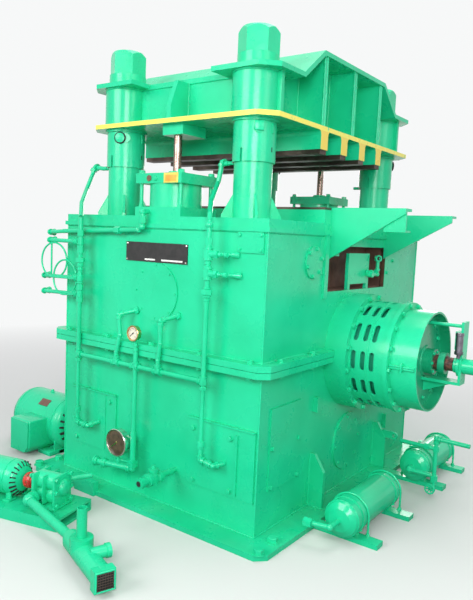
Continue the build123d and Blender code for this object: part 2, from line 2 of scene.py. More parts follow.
# # A cutoff press, dressed in Blender
# The press comes from its CAD file as a fixed frame: every plate, post and pipe is already in its place.
# The unit is the metre. This script adds what makes it look real: paint, steel, bolts, welds, dials and motors.

# %% load the frame
import bpy
import bmesh
import math
from mathutils import Matrix, Vector


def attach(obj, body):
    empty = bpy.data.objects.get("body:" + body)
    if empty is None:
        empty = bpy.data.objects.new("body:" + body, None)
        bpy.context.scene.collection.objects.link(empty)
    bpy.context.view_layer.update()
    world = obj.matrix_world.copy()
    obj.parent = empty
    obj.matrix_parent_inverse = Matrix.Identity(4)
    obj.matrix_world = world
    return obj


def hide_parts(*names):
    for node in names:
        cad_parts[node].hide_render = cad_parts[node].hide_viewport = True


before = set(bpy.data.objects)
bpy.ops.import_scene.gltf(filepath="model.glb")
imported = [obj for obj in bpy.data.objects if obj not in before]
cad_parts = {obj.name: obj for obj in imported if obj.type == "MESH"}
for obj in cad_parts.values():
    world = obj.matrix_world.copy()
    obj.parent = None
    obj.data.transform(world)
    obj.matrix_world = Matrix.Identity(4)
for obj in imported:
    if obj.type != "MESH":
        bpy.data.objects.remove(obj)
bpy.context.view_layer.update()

# %% [markdown]
# ## The floor, the light and the camera
# A machine this size is seen best on a plain pale floor under big soft lamps.
# Large area lamps give the long gentle highlights that glossy enamel shows. Small ones would give hard dots.
# The lamp in front is the strongest, so the front is bright and the right side falls into half shade,
# as it does in the works.
# The background white comes from the world as the camera sees it, not from more light on the press.

# %% floor and world
scene = bpy.context.scene
scene.view_settings.view_transform = "Standard"


def finish(name, roughness=0.4, metallic=0.0):
    """A new material with its node tree and its shader, ready to be wired."""
    material = bpy.data.materials.new(name)
    material.use_nodes = True
    shader = material.node_tree.nodes["Principled BSDF"]
    set_inputs(shader, Roughness=roughness, Metallic=metallic)
    return material, material.node_tree, shader


def add_node(tree, kind, operation=None, **given):
    """A node with its settings (small letters) and its inputs (capitals, or i0, i1 and so on) set or linked."""
    node = tree.nodes.new(kind)
    if operation:
        node.operation = operation
    for key, value in given.items():
        if hasattr(node, key):
            setattr(node, key, value)
            continue
        socket = node.inputs[int(key[1:]) if key[1:].isdigit() else key.replace("_", " ")]
        if isinstance(value, bpy.types.NodeSocket):
            tree.links.new(value, socket)
        else:
            socket.default_value = value
    return node


def maths(kind, *terms):
    """A sum in the tree that its first socket belongs to."""
    tree = next(term.id_data for term in terms if isinstance(term, bpy.types.NodeSocket))
    inputs = {"i%d" % k: term for k, term in enumerate(terms)}
    return add_node(tree, "ShaderNodeMath", kind, **inputs).outputs[0]


def seen_by_camera(rays):
    """1 for what the camera sees, directly or mirrored in a glossy skin."""
    return maths("MAXIMUM", rays["Is Camera Ray"], rays["Is Glossy Ray"])


def set_inputs(node, **values):
    """Set a node's inputs by name, with _ for a space."""
    for key, value in values.items():
        node.inputs[key.replace("_", " ")].default_value = value


floor_mesh = bpy.data.meshes.new("studio_floor")
floor_mesh.from_pydata([(-14, -14, 0), (14, -14, 0), (14, 14, 0), (-14, 14, 0)], [], [(0, 1, 2, 3)])
studio_floor = bpy.data.objects.new("studio_floor", floor_mesh)
scene.collection.objects.link(studio_floor)
pale_floor, tree, shader = finish("pale_floor", 0.9)
set_inputs(shader, Base_Color=(0.66, 0.655, 0.645, 1))
floor_mesh.materials.append(pale_floor)
# far from the press the floor turns into the same white as the room, so that no horizon shows,
# and it sends less light back up than it shows, so that the lower walls keep their deep colour
ROOM_WHITE = (0.93, 0.94, 0.94, 1)
place = add_node(tree, "ShaderNodeTexCoord").outputs["Object"]
away = add_node(tree, "ShaderNodeVectorMath", "LENGTH", i0=place).outputs["Value"]
far = add_node(tree, "ShaderNodeMapRange", i0=away, i1=2.2, i2=6.5).outputs[0]
rays = add_node(tree, "ShaderNodeLightPath").outputs
white = add_node(tree, "ShaderNodeEmission", Color=ROOM_WHITE, Strength=1.0)
grey = add_node(tree, "ShaderNodeBsdfDiffuse", Color=(0.34, 0.33, 0.32, 1))
bounce = add_node(tree, "ShaderNodeMixShader", i0=rays["Is Camera Ray"], i1=grey.outputs[0],
    i2=shader.outputs[0])
cover = add_node(tree, "ShaderNodeMixShader", i0=maths("MULTIPLY", far, seen_by_camera(rays)),
    i1=bounce.outputs[0], i2=white.outputs[0])
tree.links.new(cover.outputs[0], tree.nodes["Material Output"].inputs["Surface"])

world = bpy.data.worlds.new("pale_room")
scene.world = world
world.use_nodes = True
tree = world.node_tree
room = tree.nodes["Background"]
set_inputs(room, Color=(0.80, 0.84, 0.88, 1), Strength=0.42)
seen = add_node(tree, "ShaderNodeBackground", Color=ROOM_WHITE)
rays = add_node(tree, "ShaderNodeLightPath").outputs
blend = add_node(tree, "ShaderNodeMixShader", i0=seen_by_camera(rays), i1=room.outputs[0], i2=seen.outputs[0])
tree.links.new(blend.outputs[0], tree.nodes["World Output"].inputs["Surface"])
print("floor and room ready")

# %% lamps
for name, place, aim, width, height, watts in (
        ("front_lamp", (-1.2, -6.2, 3.6), (0, 0, 1.1), 3.4, 2.4, 210),
        ("right_lamp", (6.5, -1.5, 3.4), (0, 0, 1.3), 3.0, 3.0, 90),
        ("near_lamp", (3.0, -4.3, 2.5), (0.2, -0.3, 1.5), 1.9, 1.9, 150),
        ("top_lamp", (0.5, 0.5, 6.2), (0, 0, 0), 4.0, 4.0, 170),
        ("back_lamp", (-2.5, 6.5, 3.2), (0, 0, 1.2), 3.5, 2.5, 150)):
    lamp = bpy.data.lights.new(name, "AREA")
    lamp.shape, lamp.size, lamp.size_y, lamp.energy = "RECTANGLE", width, height, watts
    holder = bpy.data.objects.new(name, lamp)
    scene.collection.objects.link(holder)
    holder.location = place
    holder.rotation_euler = (Vector(aim) - Vector(place)).to_track_quat("-Z", "Y").to_euler()
    print(name, watts, "W")

# %% [markdown]
# ## The camera
# The press was seen from its front right corner, at a standing person's eye height, a little tilted.
# The camera's place and turn come from the straight edges of the bed and of the crown.

# %% camera
def placed(origin, *ways):
    """A place at origin whose own X, Y and Z point these ways."""
    place = Matrix(ways).transposed().to_4x4()
    place.translation = origin
    return place


PHOTO_HEIGHT_PX, SENSOR_MM = 600, 36
EYE = Vector((2.3961, -3.4632, 1.5269))
yaw, pitch, roll, focal_px = 0.63356, 0.10082, 0.04509, 621.8
ahead = Vector((-math.sin(yaw) * math.cos(pitch), math.cos(yaw) * math.cos(pitch), -math.sin(pitch)))
level = Vector((math.cos(yaw), math.sin(yaw), 0))
upright = level.cross(ahead)
right = math.cos(roll) * level + math.sin(roll) * upright
up = -math.sin(roll) * level + math.cos(roll) * upright
camera_data = bpy.data.cameras.new("works_camera")
camera_data.sensor_width = SENSOR_MM
camera_data.lens = focal_px / PHOTO_HEIGHT_PX * SENSOR_MM
camera = bpy.data.objects.new("works_camera", camera_data)
scene.collection.objects.link(camera)
camera.matrix_world = placed(EYE, right, up, -ahead)
scene.camera = camera
print("lens", round(camera_data.lens, 2), "mm")

# %% [markdown]
# ## Green enamel
# The whole press was sprayed with one coat of mint green enamel over cast iron, plate, pipes and old paint.
# Up close it isn't one flat colour. The coat is thicker and darker in some places, and has an orange-peel skin.
# Dry overspray leaves dull patches beside shiny ones. Slow noise shifts the colour, and finer noise drives
# roughness and bump. Dust settles on what faces up, so the normal's upward part mixes in a little grey.
# A helper wires the noise, because each finish on this press needs some.

# %% helpers for finishes
def object_point(tree):
    return add_node(tree, "ShaderNodeTexCoord").outputs["Object"]


def noise(where, scale, detail):
    return add_node(where.id_data, "ShaderNodeTexNoise", Scale=scale, Detail=detail, Roughness=0.55,
        Vector=where).outputs["Fac"]


def spread(value, low, high, to_low=0.0, to_high=1.0):
    """Stretch the part of a value between low and high."""
    return add_node(value.id_data, "ShaderNodeMapRange", i1=low, i2=high, i3=to_low, i4=to_high,
        i0=value).outputs[0]


def mix_colour(share, a, b):
    a, b = ((*colour, 1) if isinstance(colour, tuple) else colour for colour in (a, b))
    return add_node(share.id_data, "ShaderNodeMix", data_type="RGBA", i0=share, i6=a, i7=b).outputs[2]


def feed(value, shader, name):
    """Wire a value into an input of the shader."""
    value.id_data.links.new(value, shader.inputs[name])


def bump(shader, height, strength, distance):
    node = add_node(height.id_data, "ShaderNodeBump", Strength=strength, Distance=distance, Height=height)
    feed(node.outputs["Normal"], shader, "Normal")


def split(vector):
    return add_node(vector.id_data, "ShaderNodeSeparateXYZ", i0=vector).outputs


def facing(tree):
    """The surface's own direction, in the press's axes."""
    return split(add_node(tree, "ShaderNodeTexCoord").outputs["Normal"])


def add_second_colour(material, share, colour):
    """Lay a second colour over a finished surface where share is 1."""
    shader = material.node_tree.nodes["Principled BSDF"]
    under = shader.inputs["Base Color"].links[0].from_socket
    feed(mix_colour(share, under, colour), shader, "Base Color")


print("helpers for finishes ready")

# %% the enamel itself
MINT = (0.016, 0.640, 0.325)
MINT_THICK = (0.008, 0.535, 0.255)
DUST = (0.30, 0.36, 0.27)


def enamel(name, peel=0.2, cast=0.0, dust=0.07, light=MINT, dark=MINT_THICK, gloss_range=(0.22, 0.40)):
    """Sprayed enamel. peel is the skin's bump, cast adds the lumps of a sand casting."""
    material, tree, shader = finish(name)
    where = object_point(tree)
    slow = spread(noise(where, 2.3, 4.0), 0.36, 0.68)
    colour = mix_colour(slow, light, dark)
    up_face = spread(facing(tree)[2], 0.55, 1.0, 0.0, dust)
    settled = maths("MULTIPLY", up_face, spread(noise(where, 7.0, 5.0), 0.42, 0.66))
    colour = mix_colour(settled, colour, DUST)
    feed(colour, shader, "Base Color")
    gloss = spread(noise(where, 5.0, 5.0), 0.35, 0.70, *gloss_range)
    feed(maths("ADD", gloss, maths("MULTIPLY", settled, 0.4)), shader, "Roughness")
    height = maths("MULTIPLY", noise(where, 170.0, 2.0), 0.35)
    height = maths("ADD", height, maths("MULTIPLY", noise(where, 26.0, 3.0), 0.2 + 1.4 * cast))
    bump(shader, height, peel, 0.0022)
    set_inputs(shader, Specular_IOR_Level=0.32, Coat_Weight=0.12, Coat_Roughness=0.12)
    return material


plate_enamel = enamel("plate_enamel")
cast_enamel = enamel("cast_enamel", peel=0.4, cast=1.0, dust=0.05)
pipe_enamel = enamel("pipe_enamel", cast=0.2, dust=0.04, gloss_range=(0.12, 0.24))
# a darker copy of the enamel, painted shade for the plate deep in the drum guard's recess
painted_shade_enamel = enamel("painted_shade_enamel", dust=0.05, light=(0.010, 0.41, 0.20), dark=(0.006, 0.31, 0.145))
print("enamels:", plate_enamel.name, cast_enamel.name, pipe_enamel.name)

# %% [markdown]
# ## Where the paint changes
# Some plates aren't green all over. The edge of the crown's lower plate and the ends of its rails are yellow.
# Inside the bed the old red-brown primer shows. Inside the drum guard's recess a darker green is painted shade.
# Each case is the same enamel with a second colour, chosen by which way the face points, or by how far in it
# lies.

# %% two-colour enamels
AXIS_Z = 0.877  # the height of the drum's axis, in metres


def axis_distance_squared(y, z):
    up = maths("SUBTRACT", z, AXIS_Z)
    return maths("ADD", maths("MULTIPLY", y, y), maths("MULTIPLY", up, up))


def within(value, low, high):
    """1 while a value stays below low, 0 above high, whichever its sign."""
    return spread(maths("ABSOLUTE", value), low, high, 1.0, 0.0)


yellow_edge = enamel("yellow_edge_enamel")
tree = yellow_edge.node_tree
sideways = within(facing(tree)[2], 0.3, 0.5)
worn = spread(noise(object_point(tree), 9.0, 5.0), 0.30, 0.36)
add_second_colour(yellow_edge, maths("MULTIPLY", sideways, worn), (0.90, 0.80, 0.14))

yellow_ends = enamel("yellow_end_enamel")
tree = yellow_ends.node_tree
endways = spread(maths("ABSOLUTE", facing(tree)[0]), 0.6, 0.8)
add_second_colour(yellow_ends, endways, (0.86, 0.64, 0.10))

# inside the guard's recess the enamel turns a darker green, painted shade for the recess
guard_enamel_with_painted_shade = enamel("guard_enamel_with_painted_shade")
tree = guard_enamel_with_painted_shade.node_tree
x, y, z = split(object_point(tree))
in_hole = spread(axis_distance_squared(y, z), 0.279 ** 2, 0.280 ** 2, 1.0, 0.0)
recess_painted_shade = maths("MULTIPLY", in_hole, spread(x, 1.19, 1.20))
add_second_colour(guard_enamel_with_painted_shade, recess_painted_shade, (0.008, 0.36, 0.17))

primer_inside = enamel("primer_inside_enamel")
tree = primer_inside.node_tree
x, y, z = split(object_point(tree))
stain = mix_colour(spread(noise(object_point(tree), 12.0, 5.0), 0.35, 0.65), (0.085, 0.040, 0.026),
    (0.16, 0.085, 0.055))
add_second_colour(primer_inside, maths("MULTIPLY", within(x, 0.7375, 0.7385), within(y, 0.9725, 0.9735)), stain)
print("two-colour enamels made")

# %% [markdown]
# ## Steel, brass and the rest
# Not all of the press is painted. The rods are chromed, with fine rings from grinding, and tinted brown.
# The table strips are planed steel that has gone dark brown, and the posts and the shaft are turned steel.
# A metal shows mostly what it reflects, so its roughness pattern matters more than its colour.
# Turned work gets rings across its length, which stretched noise gives.

# %% bare metals
def stretched(tree, sizes):
    """Object point scaled by a factor on each axis, so that noise turns into streaks."""
    return add_node(tree, "ShaderNodeMapping", Scale=sizes, Vector=object_point(tree)).outputs["Vector"]


def bare_metal(name, light, dark, low, high, streaks, patch=4.0, height=0.15):
    material, tree, shader = finish(name, metallic=1.0)
    fine = noise(stretched(tree, streaks), 1.0, 3.0)
    broad = spread(noise(object_point(tree), patch, 4.0), 0.38, 0.66)
    feed(mix_colour(broad, light, dark), shader, "Base Color")
    both = maths("MULTIPLY", maths("ADD", fine, broad), 0.5)
    feed(spread(both, 0.2, 0.8, low, high), shader, "Roughness")
    bump(shader, fine, height, 0.0006)
    return material


# name: lighter and darker colour, least and most roughness, streaks on x, y and z, size of the patches, bump
metals = {name: bare_metal(name, *look) for name, look in {
    "chromed_rod_steel": ((0.42, 0.33, 0.29), (0.20, 0.115, 0.085), 0.16, 0.34, (3, 3, 900), 9.0, 0.05),
    "turned_post_steel": ((0.60, 0.57, 0.53), (0.36, 0.31, 0.26), 0.20, 0.38, (4, 4, 700)),
    "turned_shaft_steel": ((0.42, 0.39, 0.36), (0.20, 0.17, 0.14), 0.28, 0.5, (700, 4, 4)),
    "planed_strip_steel": ((0.165, 0.125, 0.105), (0.070, 0.050, 0.042), 0.34, 0.60, (3, 260, 60), 6.0),
    "dark_shoe_steel": ((0.14, 0.11, 0.095), (0.055, 0.042, 0.036), 0.36, 0.62, (4, 160, 160), 6.0),
    "brass_rim": ((0.70, 0.52, 0.24), (0.45, 0.32, 0.14), 0.18, 0.34, (300, 8, 300), 40.0),
    "chrome_rim": ((0.82, 0.81, 0.78), (0.66, 0.60, 0.52), 0.08, 0.20, (200, 8, 200), 40.0, 0.04),
    "feed_grey_steel": ((0.25, 0.235, 0.275), (0.115, 0.105, 0.13), 0.30, 0.45, (8, 8, 300), 20.0)}.items()}
(chromed_rod, turned_post, turned_shaft, planed_strip, dark_shoe, brass_rim, chrome_rim,
    feed_grey) = metals.values()
# the rotor behind the drum's slots was sprayed through them, and only the shaft stayed bare;
# its green is darker than the enamel, as painted shade inside the drum
tree = turned_shaft.node_tree
x, y, z = split(object_point(tree))
squares = axis_distance_squared(y, z)
sprayed_rotor_painted_shade = maths("MULTIPLY", spread(squares, 0.0080, 0.0085), spread(x, 0.70, 0.71))
shader = tree.nodes["Principled BSDF"]
add_second_colour(turned_shaft, sprayed_rotor_painted_shade, (0.012, 0.30, 0.17))
# outside the drum the shaft has gone red-brown, and its collar was sprayed with the rest
rusted = spread(x, 1.200, 1.205)
worn = spread(noise(object_point(tree), 45.0, 3.0), 0.40, 0.60)
add_second_colour(turned_shaft, rusted, mix_colour(worn, (0.20, 0.075, 0.055), (0.045, 0.026, 0.022)))
collar = maths("MULTIPLY", spread(squares, 0.0020, 0.0021), spread(x, 1.28, 1.285))
add_second_colour(turned_shaft, collar, (0.010, 0.42, 0.21))
painted = maths("MAXIMUM", sprayed_rotor_painted_shade, maths("MULTIPLY", rusted, 0.75))
feed(maths("SUBTRACT", 1.0, painted), shader, "Metallic")
print("bare metals made")

# %% other paints
def dull_paint(name, light, dark, low, high, grain=30.0):
    material, tree, shader = finish(name)
    share = spread(noise(object_point(tree), grain, 4.0), 0.38, 0.64)
    feed(mix_colour(share, light, dark), shader, "Base Color")
    feed(spread(noise(object_point(tree), grain * 1.7, 3.0), 0.3, 0.7, low, high), shader, "Roughness")
    bump(shader, noise(object_point(tree), 300.0, 2.0), 0.15, 0.0008)
    return material


red_enamel = dull_paint("red_coupling_enamel", (0.66, 0.045, 0.030), (0.42, 0.020, 0.016), 0.22, 0.42)
tree = red_enamel.node_tree
oversprayed = spread(noise(object_point(tree), 38.0, 4.0), 0.60, 0.68)
add_second_colour(red_enamel, oversprayed, (0.03, 0.42, 0.24))
paints = [dull_paint(*look) for look in (
    ("black_plate_paint", (0.022, 0.020, 0.020), (0.010, 0.010, 0.010), 0.28, 0.5),
    # shadow black is painted shadow, set in openings, slots and plugs
    ("shadow_black", (0.012, 0.016, 0.014), (0.006, 0.006, 0.006), 0.7, 0.9),
    ("dial_cream", (0.80, 0.76, 0.62), (0.70, 0.64, 0.50), 0.4, 0.55),
    ("dial_bronze", (0.105, 0.072, 0.042), (0.045, 0.030, 0.020), 0.3, 0.5),
    ("tag_yellow", (0.85, 0.66, 0.13), (0.74, 0.52, 0.08), 0.5, 0.7),
    ("tag_orange", (0.84, 0.42, 0.06), (0.74, 0.32, 0.05), 0.5, 0.7),
    ("tag_white", (0.82, 0.82, 0.78), (0.70, 0.70, 0.66), 0.5, 0.7),
    ("primer_brown", (0.20, 0.105, 0.075), (0.10, 0.050, 0.036), 0.45, 0.75, 9.0),
    ("brown_rubber", (0.20, 0.115, 0.065), (0.13, 0.07, 0.04), 0.5, 0.7))]
(black_plate, painted_shadow_black, dial_cream, dial_bronze, tag_yellow, tag_orange, tag_white, primer_brown,
    brown_rubber) = paints
print(len(metals), "bare metals and", len(paints) + 1, "other paints made")

# %% [markdown]
# ## Paint on the CAD nodes
# Each node gets the finish of the real piece: castings are lumpier than plates, and pipes lie between.
# The finish goes into the node's own material slots, and the node itself stays untouched.

# %% which finish each node gets
finishes = {
    plate_enamel: "base_plate bolster cantilever_arms chute_plate crown_cross_webs crown_long_webs crown_ribs "
                  "crown_top_plate deck_plate foot_brackets front_covers front_doors lower_housing pump_base "
                  "rod_blocks rotary_device seam_flange side_covers crown_tubes",
    cast_enamel: "collars counterbalance_cylinders drum_housing gear_pump main_motor post_guides post_nuts "
                 "pump_motor slotted_drum suction_strainer sleeves",
    pipe_enamel: "air_tanks front_pipes tank_pipes",
    guard_enamel_with_painted_shade: "drum_guard",
    yellow_edge: "crown_bottom_plate",
    yellow_ends: "crown_rails",
    primer_inside: "upper_housing",
    chromed_rod: "piston_rods",
    turned_post: "posts",
    turned_shaft: "drive_shaft",
    planed_strip: "table_strips",
    dark_shoe: "rail_shoes",
    red_enamel: "jaw_coupling",
    black_plate: "name_plate",
    brass_rim: "gauges",
}
left = set(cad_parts)
for material, names in finishes.items():
    for name in names.split():
        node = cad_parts[name]
        if not node.material_slots:
            node.data.materials.append(material)
        for slot in node.material_slots:
            slot.material = material
        left.discard(name)
print("nodes without a finish:", sorted(left))

# %% [markdown]
# ## Small helpers for new pieces
# Sizes on a shop drawing are in millimetres, so a helper turns them into the frame's metres.
# Round parts such as dials, motors and caps come off a lathe in the works, and here too: a profile is turned
# about an axis, and its poles are closed. Hard corners stay sharp and round skins are shaded smooth.

# %% helpers for new pieces
def at(x, y, z):
    """A point given in millimetres."""
    return Vector((x, y, z)) / 1000


def turned_about_z(x, y, z, degrees):
    place = Matrix.Rotation(math.radians(degrees), 4, "Z")
    place.translation = at(x, y, z)
    return place


def lay_z_along(axis):
    return Vector(axis).normalized().to_track_quat("Z", "Y").to_matrix()


def keep_mesh(name, mesh, material, body, smooth):
    """Show a finished mesh as a piece that rides on a body. Edges under smooth degrees look round."""
    piece = bpy.data.objects.new(name, mesh)
    scene.collection.objects.link(piece)
    mesh.materials.clear()
    mesh.materials.append(material)
    for face in mesh.polygons:
        face.use_smooth = True
    mesh.set_sharp_from_angle(angle=math.radians(smooth))
    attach(piece, body)
    return piece


def from_bmesh(name, shape, material, body="bed"):
    bmesh.ops.remove_doubles(shape, verts=shape.verts, dist=1e-6)
    bmesh.ops.recalc_face_normals(shape, faces=shape.faces)
    mesh = bpy.data.meshes.new(name)
    shape.to_mesh(mesh)
    shape.free()
    return keep_mesh(name, mesh, material, body, smooth=38)


def turn_profile(shape, profile, start, axis, steps):
    """Add to shape a round body: profile is (distance along the axis, radius) pairs in millimetres."""
    lean, rings = lay_z_along(axis), []
    for along, radius in profile:
        turns = [k * math.tau / steps for k in range(steps)] if radius else [0]
        rings.append([shape.verts.new(start + lean @ at(radius * math.cos(a), radius * math.sin(a), along))
            for a in turns])
    for low, high in zip(rings, rings[1:]):
        for k in range(steps):
            a, b = low[k % len(low)], low[(k + 1) % len(low)]
            c, d = high[(k + 1) % len(high)], high[k % len(high)]
            corners = [v for i, v in enumerate((a, b, c, d)) if v not in (a, b, c, d)[:i]]
            if len(corners) > 2:
                shape.faces.new(corners)
    return shape


def can(radius, length, start=0):
    """The profile of a plain cylinder."""
    return [(start, 0), (start, radius), (length, radius), (length, 0)]


def turned(name, profile, start, axis, material, steps=40):
    """One lathe-turned piece: profile is (distance along the axis, radius) pairs in millimetres."""
    return from_bmesh(name, turn_profile(bmesh.new(), profile, start, axis, steps), material)


def add_box(shape, low, high, place=Matrix.Identity(4), bevel=0.0):
    """Add a box between two corners in millimetres, with its edges broken if bevel is given."""
    made = bmesh.ops.create_cube(shape, size=1.0)["verts"]
    size, middle = at(*high) - at(*low), (at(*high) + at(*low)) / 2
    for v in made:
        v.co = place @ (Vector(v.co[i] * size[i] for i in range(3)) + middle)
    if bevel:
        edges = list(dict.fromkeys(e for v in made for e in v.link_edges))
        bmesh.ops.bevel(shape, geom=edges, offset=bevel / 1000, segments=2, affect="EDGES", profile=0.5)
    return shape


print("helpers ready")

# %% [markdown]
# ## Geometry Nodes that set hardware on points
# The press carries a few hundred bolts, nuts and screws of a few kinds. A node tree makes one of them
# from its sizes and sets it on every point of a small mesh. Each point says which way its bolt looks, and how
# big it is.
# A seeded turn about its own axis keeps the hexagons from all standing the same way, as in a real press.
# The instances are made real at the end of the tree, because a finished part keeps no instances.

# %% the bolt tree
def begin_tree(name, **sizes):
    """A tree that takes points, named sizes and a finish, and gives pieces."""
    tree = bpy.data.node_groups.new(name, "GeometryNodeTree")
    face = tree.interface
    face.new_socket("Points", in_out="INPUT", socket_type="NodeSocketGeometry")
    face.new_socket("Pieces", in_out="OUTPUT", socket_type="NodeSocketGeometry")
    for label, value in sizes.items():
        socket = face.new_socket(label.replace("_", " "), in_out="INPUT", socket_type="NodeSocketFloat")
        socket.default_value = value
    face.new_socket("Finish", in_out="INPUT", socket_type="NodeSocketMaterial")
    tree.nodes.new("NodeGroupOutput").name = "Group Output"
    return tree, add_node(tree, "NodeGroupInput", name="Group Input").outputs


def end_tree(tree, given, pieces):
    """Make instances real and give them their finish."""
    real = add_node(tree, "GeometryNodeRealizeInstances", Geometry=pieces)
    coat = add_node(tree, "GeometryNodeSetMaterial", Geometry=real.outputs[0], Material=given["Finish"])
    tree.links.new(coat.outputs[0], tree.nodes["Group Output"].inputs[0])


def set_on_points(tree, given, *parts):
    """Set hardware on the points, turned to their axis and scaled by their size."""
    hardware = tree.nodes.new("GeometryNodeJoinGeometry")
    for part in parts:
        tree.links.new(part, hardware.inputs[0])
    axis = add_node(tree, "GeometryNodeInputNamedAttribute", data_type="FLOAT_VECTOR", Name="looks")
    size = add_node(tree, "GeometryNodeInputNamedAttribute", data_type="FLOAT", Name="size")
    lean = add_node(tree, "FunctionNodeAlignRotationToVector", axis="Z", Vector=axis.outputs["Attribute"])
    chance = add_node(tree, "FunctionNodeRandomValue", data_type="FLOAT", i2=0.0, i3=math.tau, Seed=7)
    about = add_node(tree, "FunctionNodeAxisAngleToRotation", Axis=(0, 0, 1), Angle=chance.outputs[1])
    spun = add_node(tree, "FunctionNodeRotateRotation", rotation_space="LOCAL",
        Rotation=lean.outputs["Rotation"], Rotate_By=about.outputs["Rotation"])
    scattered = add_node(tree, "GeometryNodeInstanceOnPoints", Points=given["Points"],
        Instance=hardware.outputs[0], Rotation=spun.outputs["Rotation"], Scale=size.outputs["Attribute"])
    end_tree(tree, given, scattered.outputs["Instances"])


def disc(tree, radius, depth, sides, low):
    """An upright cylinder that stands from low upwards; every size is a socket or a number."""
    made = add_node(tree, "GeometryNodeMeshCylinder", Vertices=sides, Radius=radius, Depth=depth)
    return lifted(tree, made.outputs["Mesh"], maths("MULTIPLY_ADD", depth, 0.5, low))


def lifted(tree, geometry, height):
    lift = add_node(tree, "ShaderNodeCombineXYZ", Z=height).outputs[0]
    return add_node(tree, "GeometryNodeTransform", Geometry=geometry, Translation=lift).outputs["Geometry"]


bolt_tree, given = begin_tree("hex_bolt_on_points", Head_radius=0.5, Head_height=0.40, Washer_radius=0.62,
    Washer_height=0.08)
washer = disc(bolt_tree, given["Washer radius"], given["Washer height"], 16, 0.0)
head = disc(bolt_tree, given["Head radius"], given["Head height"], 6, given["Washer height"])
chamfer = add_node(bolt_tree, "GeometryNodeMeshCone", Vertices=12, Radius_Bottom=0.47, Radius_Top=0.40,
    Depth=0.05)
total = maths("ADD", given["Head height"], given["Washer height"])
set_on_points(bolt_tree, given, washer, head, lifted(bolt_tree, chamfer.outputs["Mesh"], total))
print("bolt tree:", len(bolt_tree.nodes), "nodes")

# %% turn rows of points into hardware
def grow(name, tree, mesh, material, body, smooth, **sizes):
    """Run a tree over a carrier mesh and keep what it makes as one plain mesh piece."""
    carrier = bpy.data.objects.new(name + "_carrier", mesh)
    scene.collection.objects.link(carrier)
    modifier = carrier.modifiers.new("grow", "NODES")
    modifier.node_group = tree
    wanted = {"Finish": material, **{label.replace("_", " "): size for label, size in sizes.items()}}
    for item in tree.interface.items_tree:
        if item.in_out == "INPUT" and item.name in wanted:
            modifier[item.identifier] = wanted[item.name]
    ready = carrier.evaluated_get(bpy.context.evaluated_depsgraph_get())
    made = bpy.data.meshes.new_from_object(ready)
    carrier.modifiers.clear()
    bpy.data.objects.remove(carrier)
    made.name = name
    return keep_mesh(name, made, material, body, smooth)


def set_hardware(name, tree, rows, material, smooth=30):
    """rows are (place in metres, direction it looks, size in metres). Returns one plain mesh piece."""
    mesh = bpy.data.meshes.new(name + "_points")
    mesh.from_pydata([tuple(p) for p, _, _ in rows], [], [])
    looks = mesh.attributes.new("looks", "FLOAT_VECTOR", "POINT")
    looks.data.foreach_set("vector", [c for _, axis, _ in rows for c in axis])
    size = mesh.attributes.new("size", "FLOAT", "POINT")
    size.data.foreach_set("value", [s for _, _, s in rows])
    return grow(name, tree, mesh, material, "bed", smooth)


HW, FRONT, DECK_TOP, SEAM_TOP, SEAM_UNDER = 740.0, -975.0, 1622.0, 915.0, 850
UP, DOWN, OUT_FRONT, OUT_BACK = (0, 0, 1), (0, 0, -1), (0, -1, 0), (0, 1, 0)
OUT_RIGHT, OUT_LEFT = (1, 0, 0), (-1, 0, 0)
SIDES = (-1, 1)
CORNERS = [(sx, sy) for sx in SIDES for sy in SIDES]


def bolts_at(axis, size, *places):
    """Bolts or bands of one size that look one way: places are in millimetres."""
    return [(at(*place), axis, size) for place in places]


def bolt_ring(centre, axis, size, radius, count, start=0.0):
    """Bolts on a circle about an axis: centre is in millimetres, size and radius in metres."""
    turns = [start + k * math.tau / count for k in range(count)]
    return [(at(*centre) + lay_z_along(axis) @ Vector((radius * math.cos(a), radius * math.sin(a), 0)), axis,
        size) for a in turns]


bolts = []
for sx, sy in CORNERS:
    bolts += bolts_at(UP, 0.052, (sx * 836, sy * 947, 28), (sx * 849, sy * 1088, 28))
seam_spots = [(x, sy * 1008) for x in (-674, -330, 23, 370, 690) for sy in SIDES]
seam_spots += [(sx * 773, y) for y in (-860, -540, 540, 860) for sx in SIDES]
for x, y in seam_spots:
    bolts += bolts_at(UP, 0.032, (x, y, SEAM_TOP)) + bolts_at(DOWN, 0.032, (x, y, SEAM_UNDER))
door_bolts = (332, 511), (578, 507), (337, 230), (581, 231), (-610, 520), (-320, 520), (-610, 250), (-320, 250)
bolts += bolts_at(OUT_FRONT, 0.026, *[(x, FRONT - 10, z) for x, z in door_bolts])
for z in (462, 257):
    bolts += bolts_at(OUT_RIGHT, 0.024, (HW + 10, -602, z), (HW + 10, -858, z))
bolts += bolt_ring((HW + 12, 0, 300), OUT_RIGHT, 0.018, 0.153, 8, 0.05)
bolts += bolt_ring((17, FRONT - 8, 1207), OUT_FRONT, 0.011, 0.146, 8)
bolts += bolt_ring((HW + 10, -528, 1408), OUT_RIGHT, 0.022, 0.076, 6, 0.3)
bolts += bolts_at(OUT_RIGHT, 0.022, (HW, 550, 1414), (HW, 464, 1336))
bolts += bolts_at(OUT_FRONT, 0.018, *[(x, FRONT - 10, z) for z in (1467, 1540) for x in (580, 707)])
print(len(bolts), "bolts on the bed so far")

